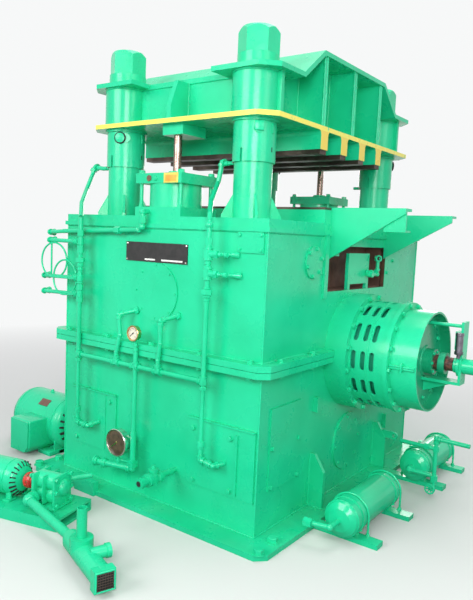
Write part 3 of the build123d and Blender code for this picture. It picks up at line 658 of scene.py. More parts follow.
# %% drum, cylinder and tank hardware
DRUM = AXIS_Z * 1000
TANK_FEET = (-590, -165, 400, 790)
bolts += bolt_ring((873, 0, DRUM), OUT_RIGHT, 0.030, 0.329, 16, 0.2)
bolts += bolt_ring((1108, 0, DRUM), OUT_RIGHT, 0.026, 0.303, 16, 0.1)
bolts += bolt_ring((1205, 0, DRUM), OUT_RIGHT, 0.020, 0.215, 12)
bolts += bolt_ring((1262, 0, DRUM), OUT_RIGHT, 0.016, 0.058, 6)
for s in SIDES:
    for dx, dy in CORNERS:
        x, y = dx * 146, s * 820 + dy * 127
        bolts += bolts_at(UP, 0.036, (x, y, DECK_TOP + 233)) + bolts_at(UP, 0.030, (x, y, DECK_TOP + 50))
bolts += bolts_at(UP, 0.020, *[(1065 + dx * 72, y, 56) for y in TANK_FEET for dx in SIDES])
bolts += bolts_at(UP, 0.030, *[(x, y, 30) for y in (-905, -525) for x in (-1300, -1100)])
set_hardware("bed_bolts", bolt_tree, bolts, plate_enamel)
print(len(bolts), "bolts on the bed")

# %% [markdown]
# ## Pipes, tubes and weld beads follow paths
# Bent copper tube, screwed pipe and a weld bead are all the same idea: a round section carried along a line.
# One node tree turns each line of a mesh into a curve, rounds its corners, and sweeps a circle along it.
# For tube the corners are wide and the skin is even. For a weld the section swells and narrows every few
# millimetres, as the welder's hand moved on, and a little noise shifts the line, so no two beads look alike.

# %% the sweep tree
def end_sweep(tree, given, curve, sides, thick=None):
    """Carry a circle along a curve."""
    section = add_node(tree, "GeometryNodeCurvePrimitiveCircle", Resolution=sides, Radius=given["Radius"])
    swept = add_node(tree, "GeometryNodeCurveToMesh", Curve=curve, Profile_Curve=section.outputs["Curve"],
        Fill_Caps=True)
    if thick is not None:
        tree.links.new(thick, swept.inputs["Scale"])
    end_tree(tree, given, swept.outputs["Mesh"])


tube_tree, given = begin_tree("tube_on_path", Radius=0.01, Bend_radius=0.03)
curve = add_node(tube_tree, "GeometryNodeMeshToCurve", Mesh=given["Points"]).outputs["Curve"]
bent = add_node(tube_tree, "GeometryNodeFilletCurve", mode="POLY", Curve=curve, Count=6, Limit_Radius=True,
    Radius=given["Bend radius"])
end_sweep(tube_tree, given, bent.outputs["Curve"], 16)

bead_tree, given = begin_tree("weld_bead_on_path", Radius=0.01, Ripple=0.25, Wander=0.0012)
curve = add_node(bead_tree, "GeometryNodeMeshToCurve", Mesh=given["Points"]).outputs["Curve"]
spaced = add_node(bead_tree, "GeometryNodeResampleCurve", mode="LENGTH", Curve=curve, Length=0.008)
here = add_node(bead_tree, "GeometryNodeInputPosition").outputs[0]
lumps = add_node(bead_tree, "ShaderNodeTexNoise", Vector=here, Scale=55.0, Detail=1.0)
middle = add_node(bead_tree, "ShaderNodeVectorMath", "SUBTRACT", i0=lumps.outputs["Color"], i1=(0.5, 0.5, 0.5))
shift = add_node(bead_tree, "ShaderNodeVectorMath", "SCALE", i0=middle.outputs[0], Scale=given["Wander"])
moved = add_node(bead_tree, "GeometryNodeSetPosition", Geometry=spaced.outputs["Curve"],
    Offset=shift.outputs[0])
thick = maths("MULTIPLY_ADD", lumps.outputs["Fac"], given["Ripple"], 0.85)
end_sweep(bead_tree, given, moved.outputs["Geometry"], 8, thick)


def sweep(name, tree, lines, material, body="bed", **sizes):
    """lines are lists of points in millimetres. Returns one plain mesh piece."""
    points, edges = [], []
    for line in lines:
        edges += [(len(points) + k, len(points) + k + 1) for k in range(len(line) - 1)]
        points += [tuple(at(*p)) for p in line]
    mesh = bpy.data.meshes.new(name + "_path")
    mesh.from_pydata(points, edges, [])
    return grow(name, tree, mesh, material, body, smooth=60, **sizes)


print("sweep trees:", len(tube_tree.nodes), "and", len(bead_tree.nodes), "nodes")

# %% weld beads
def square_loop(x, y, z):
    """The welded foot of a box that is x by y to its middle, at height z."""
    return [(-x, -y, z), (x, -y, z), (x, y, z), (-x, y, z), (-x, -y, z)]


def arc(centre, radius, steps, whole=math.tau, plane=(1, 0, 1)):
    """Points in millimetres on an arc that starts on +X; plane is (1, 1, 0) if it lies flat, else it stands."""
    turns = [k * whole / steps for k in range(steps + 1)]
    x, y, z = centre
    return [(x + radius * math.cos(a), y + plane[1] * radius * math.sin(a), z + plane[2] * radius * math.sin(a))
        for a in turns]


beads = [square_loop(HW + 2, 977, 30), square_loop(HW + 1, 976, 849), square_loop(HW + 1, 976, 916),
    square_loop(HW + 2, 977, 1555)]
for sx, sy in CORNERS:
    for low, high in ((32, 848), (917, 1554)):
        beads.append([(sx * HW, sy * 975, low), (sx * HW, sy * 975, high)])
for y in (-430, 425):
    for edge in (y - 13, y + 13):
        beads.append([(HW + 2, edge, 330), (HW + 2, edge, 30), (HW + 90, edge, 30)])
sweep("bed_welds", bead_tree, beads, cast_enamel, Radius=0.0055)
low, high, end_top = 2158.0, 2368.0, 2530.0
beads = [arc((sx * 480, sy * 759, z), 129, 40, plane=(1, 1, 0)) for sx, sy in CORNERS for z in (low, high)]
for sy in SIDES:
    beads += [[(-352, sy * 762, z), (352, sy * 762, z)] for z in (low, high)]
    beads += [[(dx, sy * 762, high - 2), (dx, sy * 762, low), (dx, sy * 905, low)] for dx in (-17, 17)]
for y in (-360, 0, 360):
    for edge in (y - 14, y + 14):
        for sx in SIDES:
            beads.append([(sx * x, edge, z) for x, z in ((658, end_top), (658, low), (492, low),
                (492, end_top))])
sweep("crown_welds", bead_tree, beads, cast_enamel, "crown", Radius=0.006)
print("welds laid")

# %% [markdown]
# ## Two gauges
# Each gauge is a short can with a turned rim, a dial sunk behind the glass, a pointer and a threaded stem; the
# glass is not built.
# The small one has a brass rim and a cream dial. The big one has a bright rim, and oil has browned its dial.
# Rims are lathe work, so each is a turned profile. The dial is its own disc, so it can take its own colour,
# with plain graduation strokes and no words.

# %% gauges
def on_dial(degrees, front):
    """A place on a dial that looks along -Y, turned so that its own Z points along the stroke."""
    a = math.radians(degrees)
    way = Vector((math.sin(a), 0, math.cos(a)))
    return placed(front, way.cross(Vector(OUT_BACK)), OUT_FRONT, way)


def make_gauge(name, centre, r, d, metal, dial, ink):
    """A dial gauge that looks along -Y. centre is the middle of its back in metres.
    r is its radius and d its depth, in millimetres."""
    rim = turned(name + "_rim", [(0, 0), (0, r - 5), (2, r - 3), (d * 0.55, r - 3), (d * 0.6, r), (d - 2, r),
        (d, r - 2), (d - 1, r - 7), (d - 6, r - 9), (d - 9, r - 9.5), (d - 9, 0)], centre, OUT_FRONT, metal)
    face = turned(name + "_dial", [(d - 8.8, 0), (d - 8.8, r - 9), (d - 6.8, r - 9), (d - 6.2, r - 10.5),
        (d - 6.8, r * 0.5), (d - 6.8, 0)], centre, OUT_FRONT, dial)
    front = centre + Vector((0, -(d - 6.0) / 1000, 0))
    marks = bmesh.new()
    for k in range(31):
        half, inner = (0.7, r - 24) if k % 5 == 0 else (0.4, r - 18)
        add_box(marks, (-half * r / 60, -0.4, inner), (half * r / 60, 0.4, r - 13),
            on_dial(-135 + 9 * k, front))
    pointer_end = 0.70 * (r - 9)
    add_box(marks, (-0.03 * r, 0.5, -0.2 * r), (0.03 * r, 1.6, pointer_end), on_dial(-128, front))
    turn_profile(marks, [(0.2, 0), (0.2, 0.1 * r), (2.4, 0.08 * r), (2.8, 0)], front, OUT_FRONT, 20)
    return [rim, face, from_bmesh(name + "_marks", marks, ink)]


gauge_pieces = make_gauge("small_gauge", at(-50, -1051.5, 976), 44.0, 32.0, brass_rim, dial_cream, black_plate)
gauge_pieces += make_gauge("big_gauge", at(-140, -1057.5, 342), 79.0, 45.0, chrome_rim, dial_bronze, brass_rim)
stem = [(0, 0), (0, 9), (10, 9), (10, 15), (24, 15), (24, 9), (36, 8), (36, 13), (50, 13), (52, 8), (66, 8),
    (66, 0)]
for name, start, axis in (("small_gauge_stem", at(-45, -1057.5, 868), (-0.05, 0, 1)),
        ("big_gauge_stem", at(-140, -1077.5, 222), UP)):
    gauge_pieces.append(turned(name, stem, start, axis, pipe_enamel, steps=24))
route = [(-140, -1077.5, 256), (-140, -1077.5, 240), (-118, -1057.5, 235), (-66, -1057.5, 235)]
gauge_pieces.append(sweep("big_gauge_pipe", tube_tree, [route], pipe_enamel, Radius=0.008, Bend_radius=0.012))
for piece in gauge_pieces:
    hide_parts("gauges")
print(len(gauge_pieces), "gauge pieces")

# %% [markdown]
# ## The name plate and the tags
# The press has a black plate on its front and a worn two-colour sticker beside two plugs on a cylinder's cap.
# They are left bare here: two white fields, screws and worn paint, and nothing to read.
# Each is a thin raised sheet, because a painted-on patch would have no shadow line.

# %% plate, stickers and plugs
PLATE_X, PLATE_Z, PLATE_Y = (-222, 238), (1369, 1476), FRONT - 5
fields = bmesh.new()
for low, high in ((-74, 4), (52, 206)):
    add_box(fields, (low, PLATE_Y - 1, PLATE_Z[0] + 9), (high, PLATE_Y, PLATE_Z[0] + 18))
from_bmesh("name_plate_fields", fields, tag_white)
screws = [(x, PLATE_Y, z) for x in (PLATE_X[0] + 9, PLATE_X[1] - 9) for z in (PLATE_Z[0] + 9, PLATE_Z[1] - 9)]
set_hardware("name_plate_screws", bolt_tree, bolts_at(OUT_FRONT, 0.008, *screws), chrome_rim)
cap_front, cap_z = -820 - 151, DECK_TOP + 178
for name, x0, x1, z0, z1, y0, y1, material in (
        ("cap_sticker", 42, 146, cap_z + 1, cap_z + 54, cap_front - 0.8, cap_front, tag_yellow),
        ("cap_sticker_band", 54, 134, cap_z + 9, cap_z + 42, cap_front - 1.4, cap_front - 0.7, tag_orange)):
    from_bmesh(name, add_box(bmesh.new(), (x0, y0, z0), (x1, y1, z1), bevel=0.6), material)
for name, x, r, material in (("cap_plug", -66, 17, brown_rubber), ("cap_plug_green", -20, 15, cast_enamel)):
    turned(name, [(0, 0), (0, r), (4, r), (6, r - 2), (6, r - 7), (7.6, r - 8), (7.6, 0)],
        at(x, cap_front, cap_z + 27), OUT_FRONT, material)
print("plates and tags in place")

# %% [markdown]
# ## Motors
# The motor left of the bed and the smaller one on the pump base are rolled steel shells with cast end bells.
# The bells are domed, with slots that let the fan's air out, and four long bolts hold the bells to the shell.
# Those long bolts are not built; a solid of revolution gives the domes, and the node tree for bolts serves
# again for the foot bolts.
# The slots are dark tapered pads of painted shadow that lie just proud of the bell, which reads as an opening
# from any side.

# %% motors
VENT_SLOTS = 20


def make_motor(name, middle, axis, end, r):
    """A motor on a line: middle is the centre of its shell in metres, axis the way that its shaft points.
    end is the length of the shell and r its radius, in millimetres."""
    way = Vector(axis).normalized()
    start = middle - way * (end / 2000)
    bell = [(0, 0), (0, r * 0.42), (3, r * 0.46), (8, r * 0.66), (20, r * 0.84), (36, r * 0.95), (52, r - 4),
        (58, r - 1)]
    shell = bell + [(70, r - 1), (72, r - 5), (76, r - 5), (78, r - 1), (end - 78, r - 1), (end - 76, r - 5),
        (end - 72, r - 5), (end - 70, r - 1)] + [(end - x, height) for x, height in reversed(bell)]
    body = turned(name + "_shell", shell, start, way, cast_enamel, steps=64)
    side = way.orthogonal().normalized()
    # the vent slots are pads of painted shadow black
    vents = bmesh.new()
    for x, lean_out in ((22, -0.75), (end - 22, 0.75)):
        for k in range(VENT_SLOTS):
            out = Matrix.Rotation(k * math.tau / VENT_SLOTS + 0.13, 3, way) @ side
            tilt = (out * 0.66 + way * lean_out).normalized()
            across = way.cross(out)
            place = placed(start + way * (x / 1000) + out * (r * 0.80 / 1000), across, tilt.cross(across), tilt)
            add_box(vents, (-r * 0.038, -r * 0.17, -3), (r * 0.038, r * 0.17, 4.5), place, 2.0)
    return [body, from_bmesh(name + "_vents", vents, painted_shadow_black)]


MOTOR_Y = -715
main = make_motor("main_motor", at(-1199.5, MOTOR_Y, 190), OUT_RIGHT, 537, 178)
feet = bmesh.new()


def add_foot(x0, x1, near, far, z0, z1, bevel):
    """A box beside the motor's middle line: near and far are signed distances from it."""
    low, high = sorted((near, far))
    add_box(feet, (x0, MOTOR_Y + low, z0), (x1, MOTOR_Y + high, z1), bevel=bevel)


for dy in SIDES:
    add_foot(-1405, -980, dy * 120, dy * 43, 0, 30, 3)
    add_foot(-1405, -1290, dy * 40, dy * 197, 0, 28, 4)
    add_foot(-1110, -980, dy * 40, dy * 197, 0, 28, 4)
for x in (-1395, -1300, -1115, -1000):
    for dy in SIDES:
        add_foot(x, x + 12, dy * 60, dy * 150, 24, 120, 2)
main.append(from_bmesh("main_motor_feet", feet, cast_enamel))
box = bmesh.new()


def add_prism(outline, near, far):
    """Add a five-sided slab between two distances in front of the motor."""
    low, high = ([box.verts.new(at(x, MOTOR_Y - away, z)) for x, z in outline] for away in (near, far))
    box.faces.new(low)
    box.faces.new(high)
    for k in range(5):
        box.faces.new((low[k], low[(k + 1) % 5], high[(k + 1) % 5], high[k]))


corners = [(-1245, 28), (-1083, 28), (-1050, 66), (-1045, 250), (-1245, 250)]
add_prism(corners, 312, 100)
bmesh.ops.bevel(box, geom=box.edges[:], offset=0.012, segments=3, affect="EDGES", profile=0.5)
add_prism([(x + (6 if x < -1175 else -6), z + (6 if z < 100 else -6)) for x, z in corners], 320, 311)
main.append(from_bmesh("main_motor_box", box, cast_enamel))
main.append(turned("main_motor_eye", [(0, 0), (0, 16), (8, 16), (12, 10), (22, 9), (22, 0)],
    at(-1215, MOTOR_Y, 364), UP, cast_enamel))
main.append(turned("main_motor_shaft", [(0, 0), (0, 24), (10, 24), (12, 19), (34, 19), (36, 17), (36, 0)],
    at(-945, MOTOR_Y, 190), OUT_RIGHT, turned_shaft))
out = Vector((0, -math.cos(math.radians(50)), math.sin(math.radians(50))))
lean = placed(at(-1150, MOTOR_Y, 190) + out * 0.1755, OUT_RIGHT, out.cross(Vector(OUT_RIGHT)), out)
plate = add_box(bmesh.new(), (-48, -27, 0), (48, 27, 3.4), lean, 1.2)
main.append(from_bmesh("main_motor_plate", plate, primer_brown))
for piece in main:
    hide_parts("main_motor")
print("main motor of", len(main), "pieces")

# %% pump set
# the pump set stands turned on its own channel base, and its shaft line is this high
turn_15 = turned_about_z(-113, -1403, 0, 15)
PUMP_Z = 168


def on_pump(x, y=0, z=PUMP_Z):
    return turn_15 @ at(x, y, z)


pump_way = turn_15.to_3x3() @ Vector(OUT_RIGHT)
pump_motor = make_motor("pump_motor", on_pump(-462), pump_way, 276, 97)
shape = bmesh.new()
for x in (-560, -400):
    for low, high in ((-90, -30), (30, 90)):
        add_box(shape, (x, low, 62), (x + 44, high, 72), turn_15, 2)
    for dy in (-70, 58):
        add_box(shape, (x + 6, dy, 70), (x + 38, dy + 12, 118), turn_15, 2)
add_box(shape, (-520, -118, 140), (-420, -70, 200), turn_15, 5)
pump_motor.append(from_bmesh("pump_motor_feet", shape, cast_enamel))
pump_motor.append(turned("pump_motor_shaft", can(14, 38), on_pump(-328), pump_way, turned_shaft))
for piece in pump_motor:
    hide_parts("pump_motor")
spots = [on_pump(x, y, 72) for x in (-539, -379) for y in (-62, 62)]
set_hardware("pump_motor_bolts", bolt_tree, [(spot, UP, 0.018) for spot in spots], cast_enamel)
print("pump motor of", len(pump_motor), "pieces")

# %% [markdown]
# ## The suction strainer's screen
# The strainer on the floor ends in a square box. Its open side has a coarse woven screen and is dark behind it;
# a thin black sheet of painted shadow stands for that dark.
# Woven wire is two sets of thin bars, so the sweep tree lays them as crossed lines on the box's face.

# %% strainer screen
strainer_at = turned_about_z(143, -1628, 75, -20)


def on_strainer(*corners):
    """A path in millimetres, from points given from the strainer's own middle."""
    return [tuple((strainer_at @ at(*corner)) * 1000) for corner in corners]


# a thin sheet of painted shadow black behind the screen
from_bmesh("strainer_opening", add_box(bmesh.new(), (425, -40, -40), (426, 40, 40), strainer_at, 0.4),
    painted_shadow_black)
lines = []
for off in (k * 11.5 for k in range(-3, 4)):
    lines += [on_strainer((427, off, -40), (427, off, 40)), on_strainer((428, -40, off), (428, 40, off))]
sweep("strainer_screen", tube_tree, lines, dark_shoe, Radius=0.0016, Bend_radius=0.0)
rim = on_strainer(*[(426, y, z) for y, z in ((-42, -42), (42, -42), (42, 42), (-42, 42), (-42, -42))])
sweep("strainer_rim", tube_tree, [rim], cast_enamel, Radius=0.0045, Bend_radius=0.002)
print("screen laid")

# %% [markdown]
# ## Drum details
# The guard outside the drum is bolted together of two half rings, so on each side a joint crosses its skin.
# In its recess is a bolted plate, and two hex nuts hold the hub. The far end of the shaft has a split collar.

# %% guard joint and recess
shape = bmesh.new()
for side in SIDES:
    for x0, x1, reach, z0, z1 in ((1108, 1250, 302, 860, 869), (1108, 1250, 302, 871, 880),
            (1180, 1188, 318, 845, 895)):
        low, high = sorted((side * 276, side * reach))
        add_box(shape, (x0, low, z0), (x1, high, z1), bevel=1.5)
from_bmesh("guard_joint", shape, plate_enamel)
# the recess plate takes the darker enamel, painted shade for the recess
turned("guard_recess_plate", [(0, 73), (0, 236), (5, 236), (7, 232), (7, 90), (14, 86), (16, 76), (16, 73),
    (0, 73)], at(1198, 0, DRUM), OUT_RIGHT, painted_shade_enamel, steps=72)
print("drum dressed")

# %% [markdown]
# ## Inside the side opening
# The opening for offcuts shows the inside of the bed, still in its red-brown primer with bright scratches.
# The walls inside are part of the bed, but little light reaches them. A chute of thin primed plate stands close
# behind the opening, as it does in the press, so the primer shows in the light that falls in.

# %% chute liner
liner = bmesh.new()
x0, x1, y0, y1, z0, z1 = HW - 150, HW - 30, -346, 426, 1247, 1496
for low, high in (((x0, y0, z0), (x0 + 4, y1, z1)), ((x0, y0, z0 - 4), (x1, y1, z0)),
        ((x0, y0, z1), (x1, y1, z1 + 3)), ((x0, y0 - 3, z0), (x1, y0, z1)), ((x0, y1, z0), (x1, y1 + 3, z1))):
    add_box(liner, low, high)
from_bmesh("chute_liner", liner, primer_brown)
marks = bmesh.new()
for y, z, long in ((-262, 1399, 60), (-210, 1268, 90), (238, 1262, 80), (280, 1420, 50)):
    add_box(marks, (x0 + 4, y, z), (x0 + 8, y + long, z + 7), bevel=1.5)
from_bmesh("chute_weld_stubs", marks, tag_white)
print("liner in place")

# %% [markdown]
# ## Bands on the screwed fittings
# Old malleable elbows and tees have a thick rolled band at each mouth, where the pipe screws in.
# The bands are what the eye reads as pipework, so each bend of each route gets a band before and after it.
# One tree makes a collar with a lip, and the routes say where it goes and which way it looks.

# %% the band tree
band_tree, given = begin_tree("pipe_band_on_points", Collar_radius=1.0, Collar_width=0.75, Lip_radius=1.16,
    Lip_width=0.30)
collar = disc(band_tree, given["Collar radius"], given["Collar width"], 16, -0.5)
lip = disc(band_tree, given["Lip radius"], given["Lip width"], 16, 0.1)
set_on_points(band_tree, given, collar, lip)


def bands_at_bends(points, radius):
    """Two bands at each bend of a pipe: points and radius are in millimetres."""
    rows = []
    for before, here, after in zip(points, points[1:], points[2:]):
        here = Vector(here)
        for other in (before, after):
            way = (Vector(other) - here).normalized()
            rows.append(((here + way * radius * 1.5) / 1000, way, 1.42 * radius / 1000))
    return rows


print("band tree:", len(band_tree.nodes), "nodes")

# %% routes of the front pipes
# these sleeves lie over the thin pipes of the CAD, from their screwed ends on; all routes are in millimetres
PIPE_Y, LEFT_X, RIGHT_X, DROP_X, HEAD_Z, RISER_TOP = -1057.5, -527.0, 442.0, -45.0, 791.0, 1604
left_hook = [(LEFT_X, PIPE_Y, 470), (LEFT_X, PIPE_Y, 375), (-440, PIPE_Y + 8, 366), (-412, -985, 383)]
right_hook = [(RIGHT_X, PIPE_Y, 470), (RIGHT_X, PIPE_Y, 381), (520, PIPE_Y + 8, 366), (546, -985, 370)]
drop = [(DROP_X, PIPE_Y, 420), (DROP_X, PIPE_Y, 205), (-170, PIPE_Y - 25, 203), (-308, PIPE_Y - 49.6, 200)]
branch_1 = [(-200, PIPE_Y, HEAD_Z), (-200, PIPE_Y, 850), (-172, PIPE_Y, 950), (-189, PIPE_Y, 1065),
    (-126, -977, 1090)]
branch_2 = [(124, PIPE_Y, HEAD_Z), (124, PIPE_Y, 850), (136, PIPE_Y, 943), (134, PIPE_Y, 1066),
    (186, -977, 1093)]
upper_branch = [(-700, -1015, 1518), (-886, -1015, 1506), (-892, -972, 1506)]
left_branches = [[(LEFT_X, PIPE_Y, z), (end, PIPE_Y, z - fall), (end - 6, PIPE_Y + 52, z - fall)] for z, end,
    fall in ((1459, -832, 0), (1245, -882, 8), (1150, -882, 10))]
left_tube = [(LEFT_X, PIPE_Y, RISER_TOP), (-627, PIPE_Y + 85, 1691), (-715, PIPE_Y + 195, 1782),
    (-770, -771, 1884), (-765, -759, 1932), (-682, -759, 1920), (-643, -759, 1920)]
right_tube = [(RIGHT_X, PIPE_Y, RISER_TOP), (432, PIPE_Y + 13, 1634), (335, -920, 1710), (262, -775, 1817),
    (268, -763, 1884), (268, -759, 1930), (293, -759, 1920), (317, -759, 1920)]
for name, routes, radius, bend in (
        ("front_pipe_sleeves", [drop], 0.0165, 0.012),
        ("front_hook_sleeves", [left_hook, right_hook, left_tube, right_tube], 0.0135, 0.012),
        ("front_branch_sleeves", [branch_1, branch_2, upper_branch] + left_branches, 0.012, 0.03)):
    sweep(name, tube_tree, routes, pipe_enamel, Radius=radius, Bend_radius=bend)
coils = []
for x, z, end_z, half in ((-768, 1340, 1238, 111), (-664, 1240, 1144, 98)):
    coil = [(-556, PIPE_Y - 16, end_z)]
    for k in range(44):
        a = math.radians(270 - k * 380 / 43)
        coil.append((x + half * math.cos(a), PIPE_Y - 16 + k * 30 / 43, z + 104 * math.sin(a)))
    coils.append(coil)
coils.append([(-796, PIPE_Y, 1456), (-796, PIPE_Y, 1240)])
sweep("oil_tube_coils", tube_tree, coils, pipe_enamel, Radius=0.0055, Bend_radius=0.0)
print(len(coils), "runs of thin tube")


# %% nuts and rings on the risers
def stack_fittings(name, start, axis, stack):
    """Nuts, tees and rings along a pipe: (from, to, radius, sides) in millimetres along the axis."""
    shape = bmesh.new()
    for low, high, radius, sides in stack:
        edge = radius - 2
        turn_profile(shape, [(low, 0), (low, edge), (low + 2, radius), (high - 2, radius), (high, edge),
            (high, 0)], start, axis, sides)
    return from_bmesh(name, shape, pipe_enamel)


HEX, ROUND = 6, 24
stack_fittings("right_riser_fittings", at(RIGHT_X, PIPE_Y, 0), UP, [
    (1466, 1490, 17, ROUND), (1456, 1466, 19, HEX), (1412, 1456, 19, ROUND), (1384, 1402, 16, ROUND),
    (1362, 1378, 20, HEX), (1320, 1362, 20, ROUND), (1306, 1318, 19, HEX), (1261, 1274, 19, ROUND),
    (1232, 1261, 29, HEX), (1219, 1232, 22, HEX), (1200, 1214, 17, ROUND), (HEAD_Z - 46, HEAD_Z - 26, 20, HEX),
    (452, 476, 20, ROUND), (440, 452, 18, HEX)])
stack_fittings("left_riser_fittings", at(LEFT_X, PIPE_Y, 0), UP, [
    (1500, 1512, 18, HEX), (1440, 1482, 19, ROUND), (1424, 1438, 20, HEX), (1400, 1412, 17, ROUND),
    (1336, 1364, 27, HEX), (1316, 1330, 20, ROUND), (1290, 1302, 17, ROUND), (1226, 1264, 19, ROUND),
    (1212, 1224, 20, HEX), (1172, 1184, 18, HEX), (1132, 1170, 19, ROUND), (1112, 1126, 20, HEX),
    (HEAD_Z - 46, HEAD_Z - 26, 20, HEX), (444, 468, 19, ROUND)])
for name, z in (("upper", 1437), ("lower", 1339)):
    stack_fittings("right_branch_nut_" + name, at(RIGHT_X, PIPE_Y, z), OUT_RIGHT,
        [(14, 40, 17, ROUND), (42, 62, 20, HEX), (104, 120, 13, ROUND)])
for z, x in ((1438, 567), (1336, 587)):
    turned("right_branch_flare_%d" % z, [(0, 0), (0, 18), (14, 16), (40, 10), (40, 0)], at(x, FRONT, z),
        (510 - x, -82, 1), pipe_enamel, steps=24)
print("riser fittings made")

# %% where the bands go
rows = []
for branch in left_branches:
    rows += bands_at_bends(branch, 11.5)
    z = branch[0][2]
    rows += [(at(LEFT_X - 24, PIPE_Y, z), OUT_LEFT, 0.021), (at(LEFT_X - 46, PIPE_Y, z), OUT_LEFT, 0.018),
        (at(*branch[2]), OUT_BACK, 0.019)]
rows += bands_at_bends(upper_branch, 11.5) + [(at(-892, -972, 1506), OUT_BACK, 0.019)]
for branch in (branch_1, branch_2):
    rows += bands_at_bends(branch[2:], 12)
    rows += [(at(branch[0][0], PIPE_Y, HEAD_Z + 32), UP, 0.019), (at(*branch[4]), OUT_BACK, 0.021)]
drop_way = Vector((-138, -24.6, -3)).normalized()
for hook in (left_hook, right_hook):
    rows += bands_at_bends([(hook[0][0], PIPE_Y, 600)] + hook[1:], 13)
header = [(LEFT_X, PIPE_Y, RISER_TOP), (LEFT_X, PIPE_Y, HEAD_Z), (RIGHT_X, PIPE_Y, HEAD_Z),
    (RIGHT_X, PIPE_Y, RISER_TOP)]
rows += bands_at_bends(header, 13.5)
rows += bands_at_bends([(DROP_X, PIPE_Y, 871)] + drop[1:3], 16)
rows += bolts_at(drop_way, 0.025, (-292, PIPE_Y - 46.8, 201), (-232, PIPE_Y - 36, 201))
for route, radius in (([left_tube[k] for k in (3, 4, 6)], 14), ([right_tube[k] for k in (4, 5, 7)], 12),
        ([(740, 152, 1343), (762, 152, 1343), (762, 262, 1343), (762, 262, 1443)], 11),
        ([(1225, 255, 30), (1225, 255, 360), (1423, 255, 357)], 13.5)):
    rows += bands_at_bends(route, radius)
for x in (-200, DROP_X, 124):
    rows += [(at(x + side * 20, PIPE_Y, HEAD_Z), (side, 0, 0), 0.020) for side in SIDES]
    rows.append((at(x, PIPE_Y, HEAD_Z + 20), UP, 0.017))
for z in (1437, 1339):
    rows += [(at(RIGHT_X, PIPE_Y, z + 22), UP, 0.021), (at(RIGHT_X, PIPE_Y, z - 22), DOWN, 0.021)]
set_hardware("pipe_bands", band_tree, rows, pipe_enamel, smooth=40)
print(len(rows), "bands")

# %% valves and open ends
turned("riser_valve", [(0, 0), (0, 14), (6, 19), (16, 21), (26, 19), (32, 13), (40, 12), (44, 8), (44, 0)],
    at(RIGHT_X, PIPE_Y, 1566), UP, pipe_enamel)
outlet = bmesh.new()
spot = at(205, -1150, 244)
turn_profile(outlet, [(-107, 0), (-107, 15), (-105, 15), (-105, 29), (-84, 29), (-82, 23), (-48, 23), (-46, 36),
    (-24, 36), (-20, 30), (20, 30), (24, 36), (46, 36), (48, 23), (78, 20), (80, 16), (140, 16), (140, 0)],
    spot, OUT_BACK, 28)
turn_profile(outlet, [(0, 0), (0, 31), (26, 31), (29, 22), (37, 22), (39, 28), (52, 28), (54, 13), (72, 11),
    (74, 0)], spot, UP, 24)
turn_profile(outlet, [(0, 0), (0, 30), (29, 27), (29, 0)], spot, DOWN, 24)
from_bmesh("outlet_valve_body", outlet, cast_enamel)
# black discs of painted shadow sit in the open pipe ends
openings = bmesh.new()
chute_mouth, toward = at(762, 262, 1432), Vector((0.62, -0.78, 0))
turn_profile(openings, can(15, -107, -107.6), spot, OUT_BACK, 24)
turn_profile(openings, can(15, 0.6), at(-310.6, PIPE_Y - 50, 200), drop_way, 24)
turn_profile(openings, can(12, 0.6), chute_mouth + toward * 0.0222, toward, 24)
from_bmesh("pipe_openings", openings, painted_shadow_black)
turned("chute_pipe_mouth", [(-14, 0), (-14, 15), (8, 15), (10, 20), (22, 20), (22, 0)], chute_mouth, toward,
    pipe_enamel, steps=24)
print("valves made")

# %% [markdown]
# ## Tank straps and valve
# Each air tank is held by rods bent over it, with both legs bolted to its foot. A rod is a path, so the sweep
# tree makes it. The riser beside the back tank has a small globe valve with a hand wheel at its foot.

# %% straps
TANK_X, TANK_Z, ROD_R = 1065, 122, 104
straps, nuts = [], []
for y in (foot + 28 for foot in TANK_FEET):
    over = arc((TANK_X, y, TANK_Z), ROD_R, 24, math.pi)
    straps.append([(TANK_X + ROD_R, y, 20)] + over + [(TANK_X - ROD_R, y, 20)])
    nuts += bolts_at(UP, 0.022, (TANK_X + ROD_R, y, 27), (TANK_X - ROD_R, y, 27))
sweep("tank_straps", tube_tree, straps, pipe_enamel, Radius=0.006, Bend_radius=0.0)
set_hardware("tank_strap_nuts", bolt_tree, nuts, pipe_enamel)
beads = [arc((TANK_X, y, TANK_Z), 95, 48) for y in (-658, -142, 352, 838)]
sweep("tank_welds", bead_tree, beads, pipe_enamel, Radius=0.0035)
wheel = bmesh.new()
spot = at(1225, 222, 62)
turn_profile(wheel, [(0, 0), (0, 15), (14, 15), (16, 8), (34, 7), (34, 0)], spot, OUT_FRONT, 20)
turn_profile(wheel, [(30, 25), (30, 31), (33, 33), (36, 31), (36, 25), (33, 23), (30, 25)], spot, OUT_FRONT, 28)
for k in range(3):
    lean = Matrix.Rotation(k * math.pi / 3, 4, "Y")
    lean.translation = spot + Vector((0, -0.033, 0))
    add_box(wheel, (-28, -2, -3), (28, 2, 3), lean)
from_bmesh("riser_hand_wheel", wheel, pipe_enamel)
print("straps and valve done")

# %% [markdown]
# ## The gear pump and its coupling
# The pump is a sandwich of cast plates held by long bolts, with the two gear bores bulging between them.
# The coupling that turns it is two red hubs with jaws, and a dark rubber star between the jaws.
# The coupling spins in the model, so it is built round its own axis, with a bore that clears the shaft.

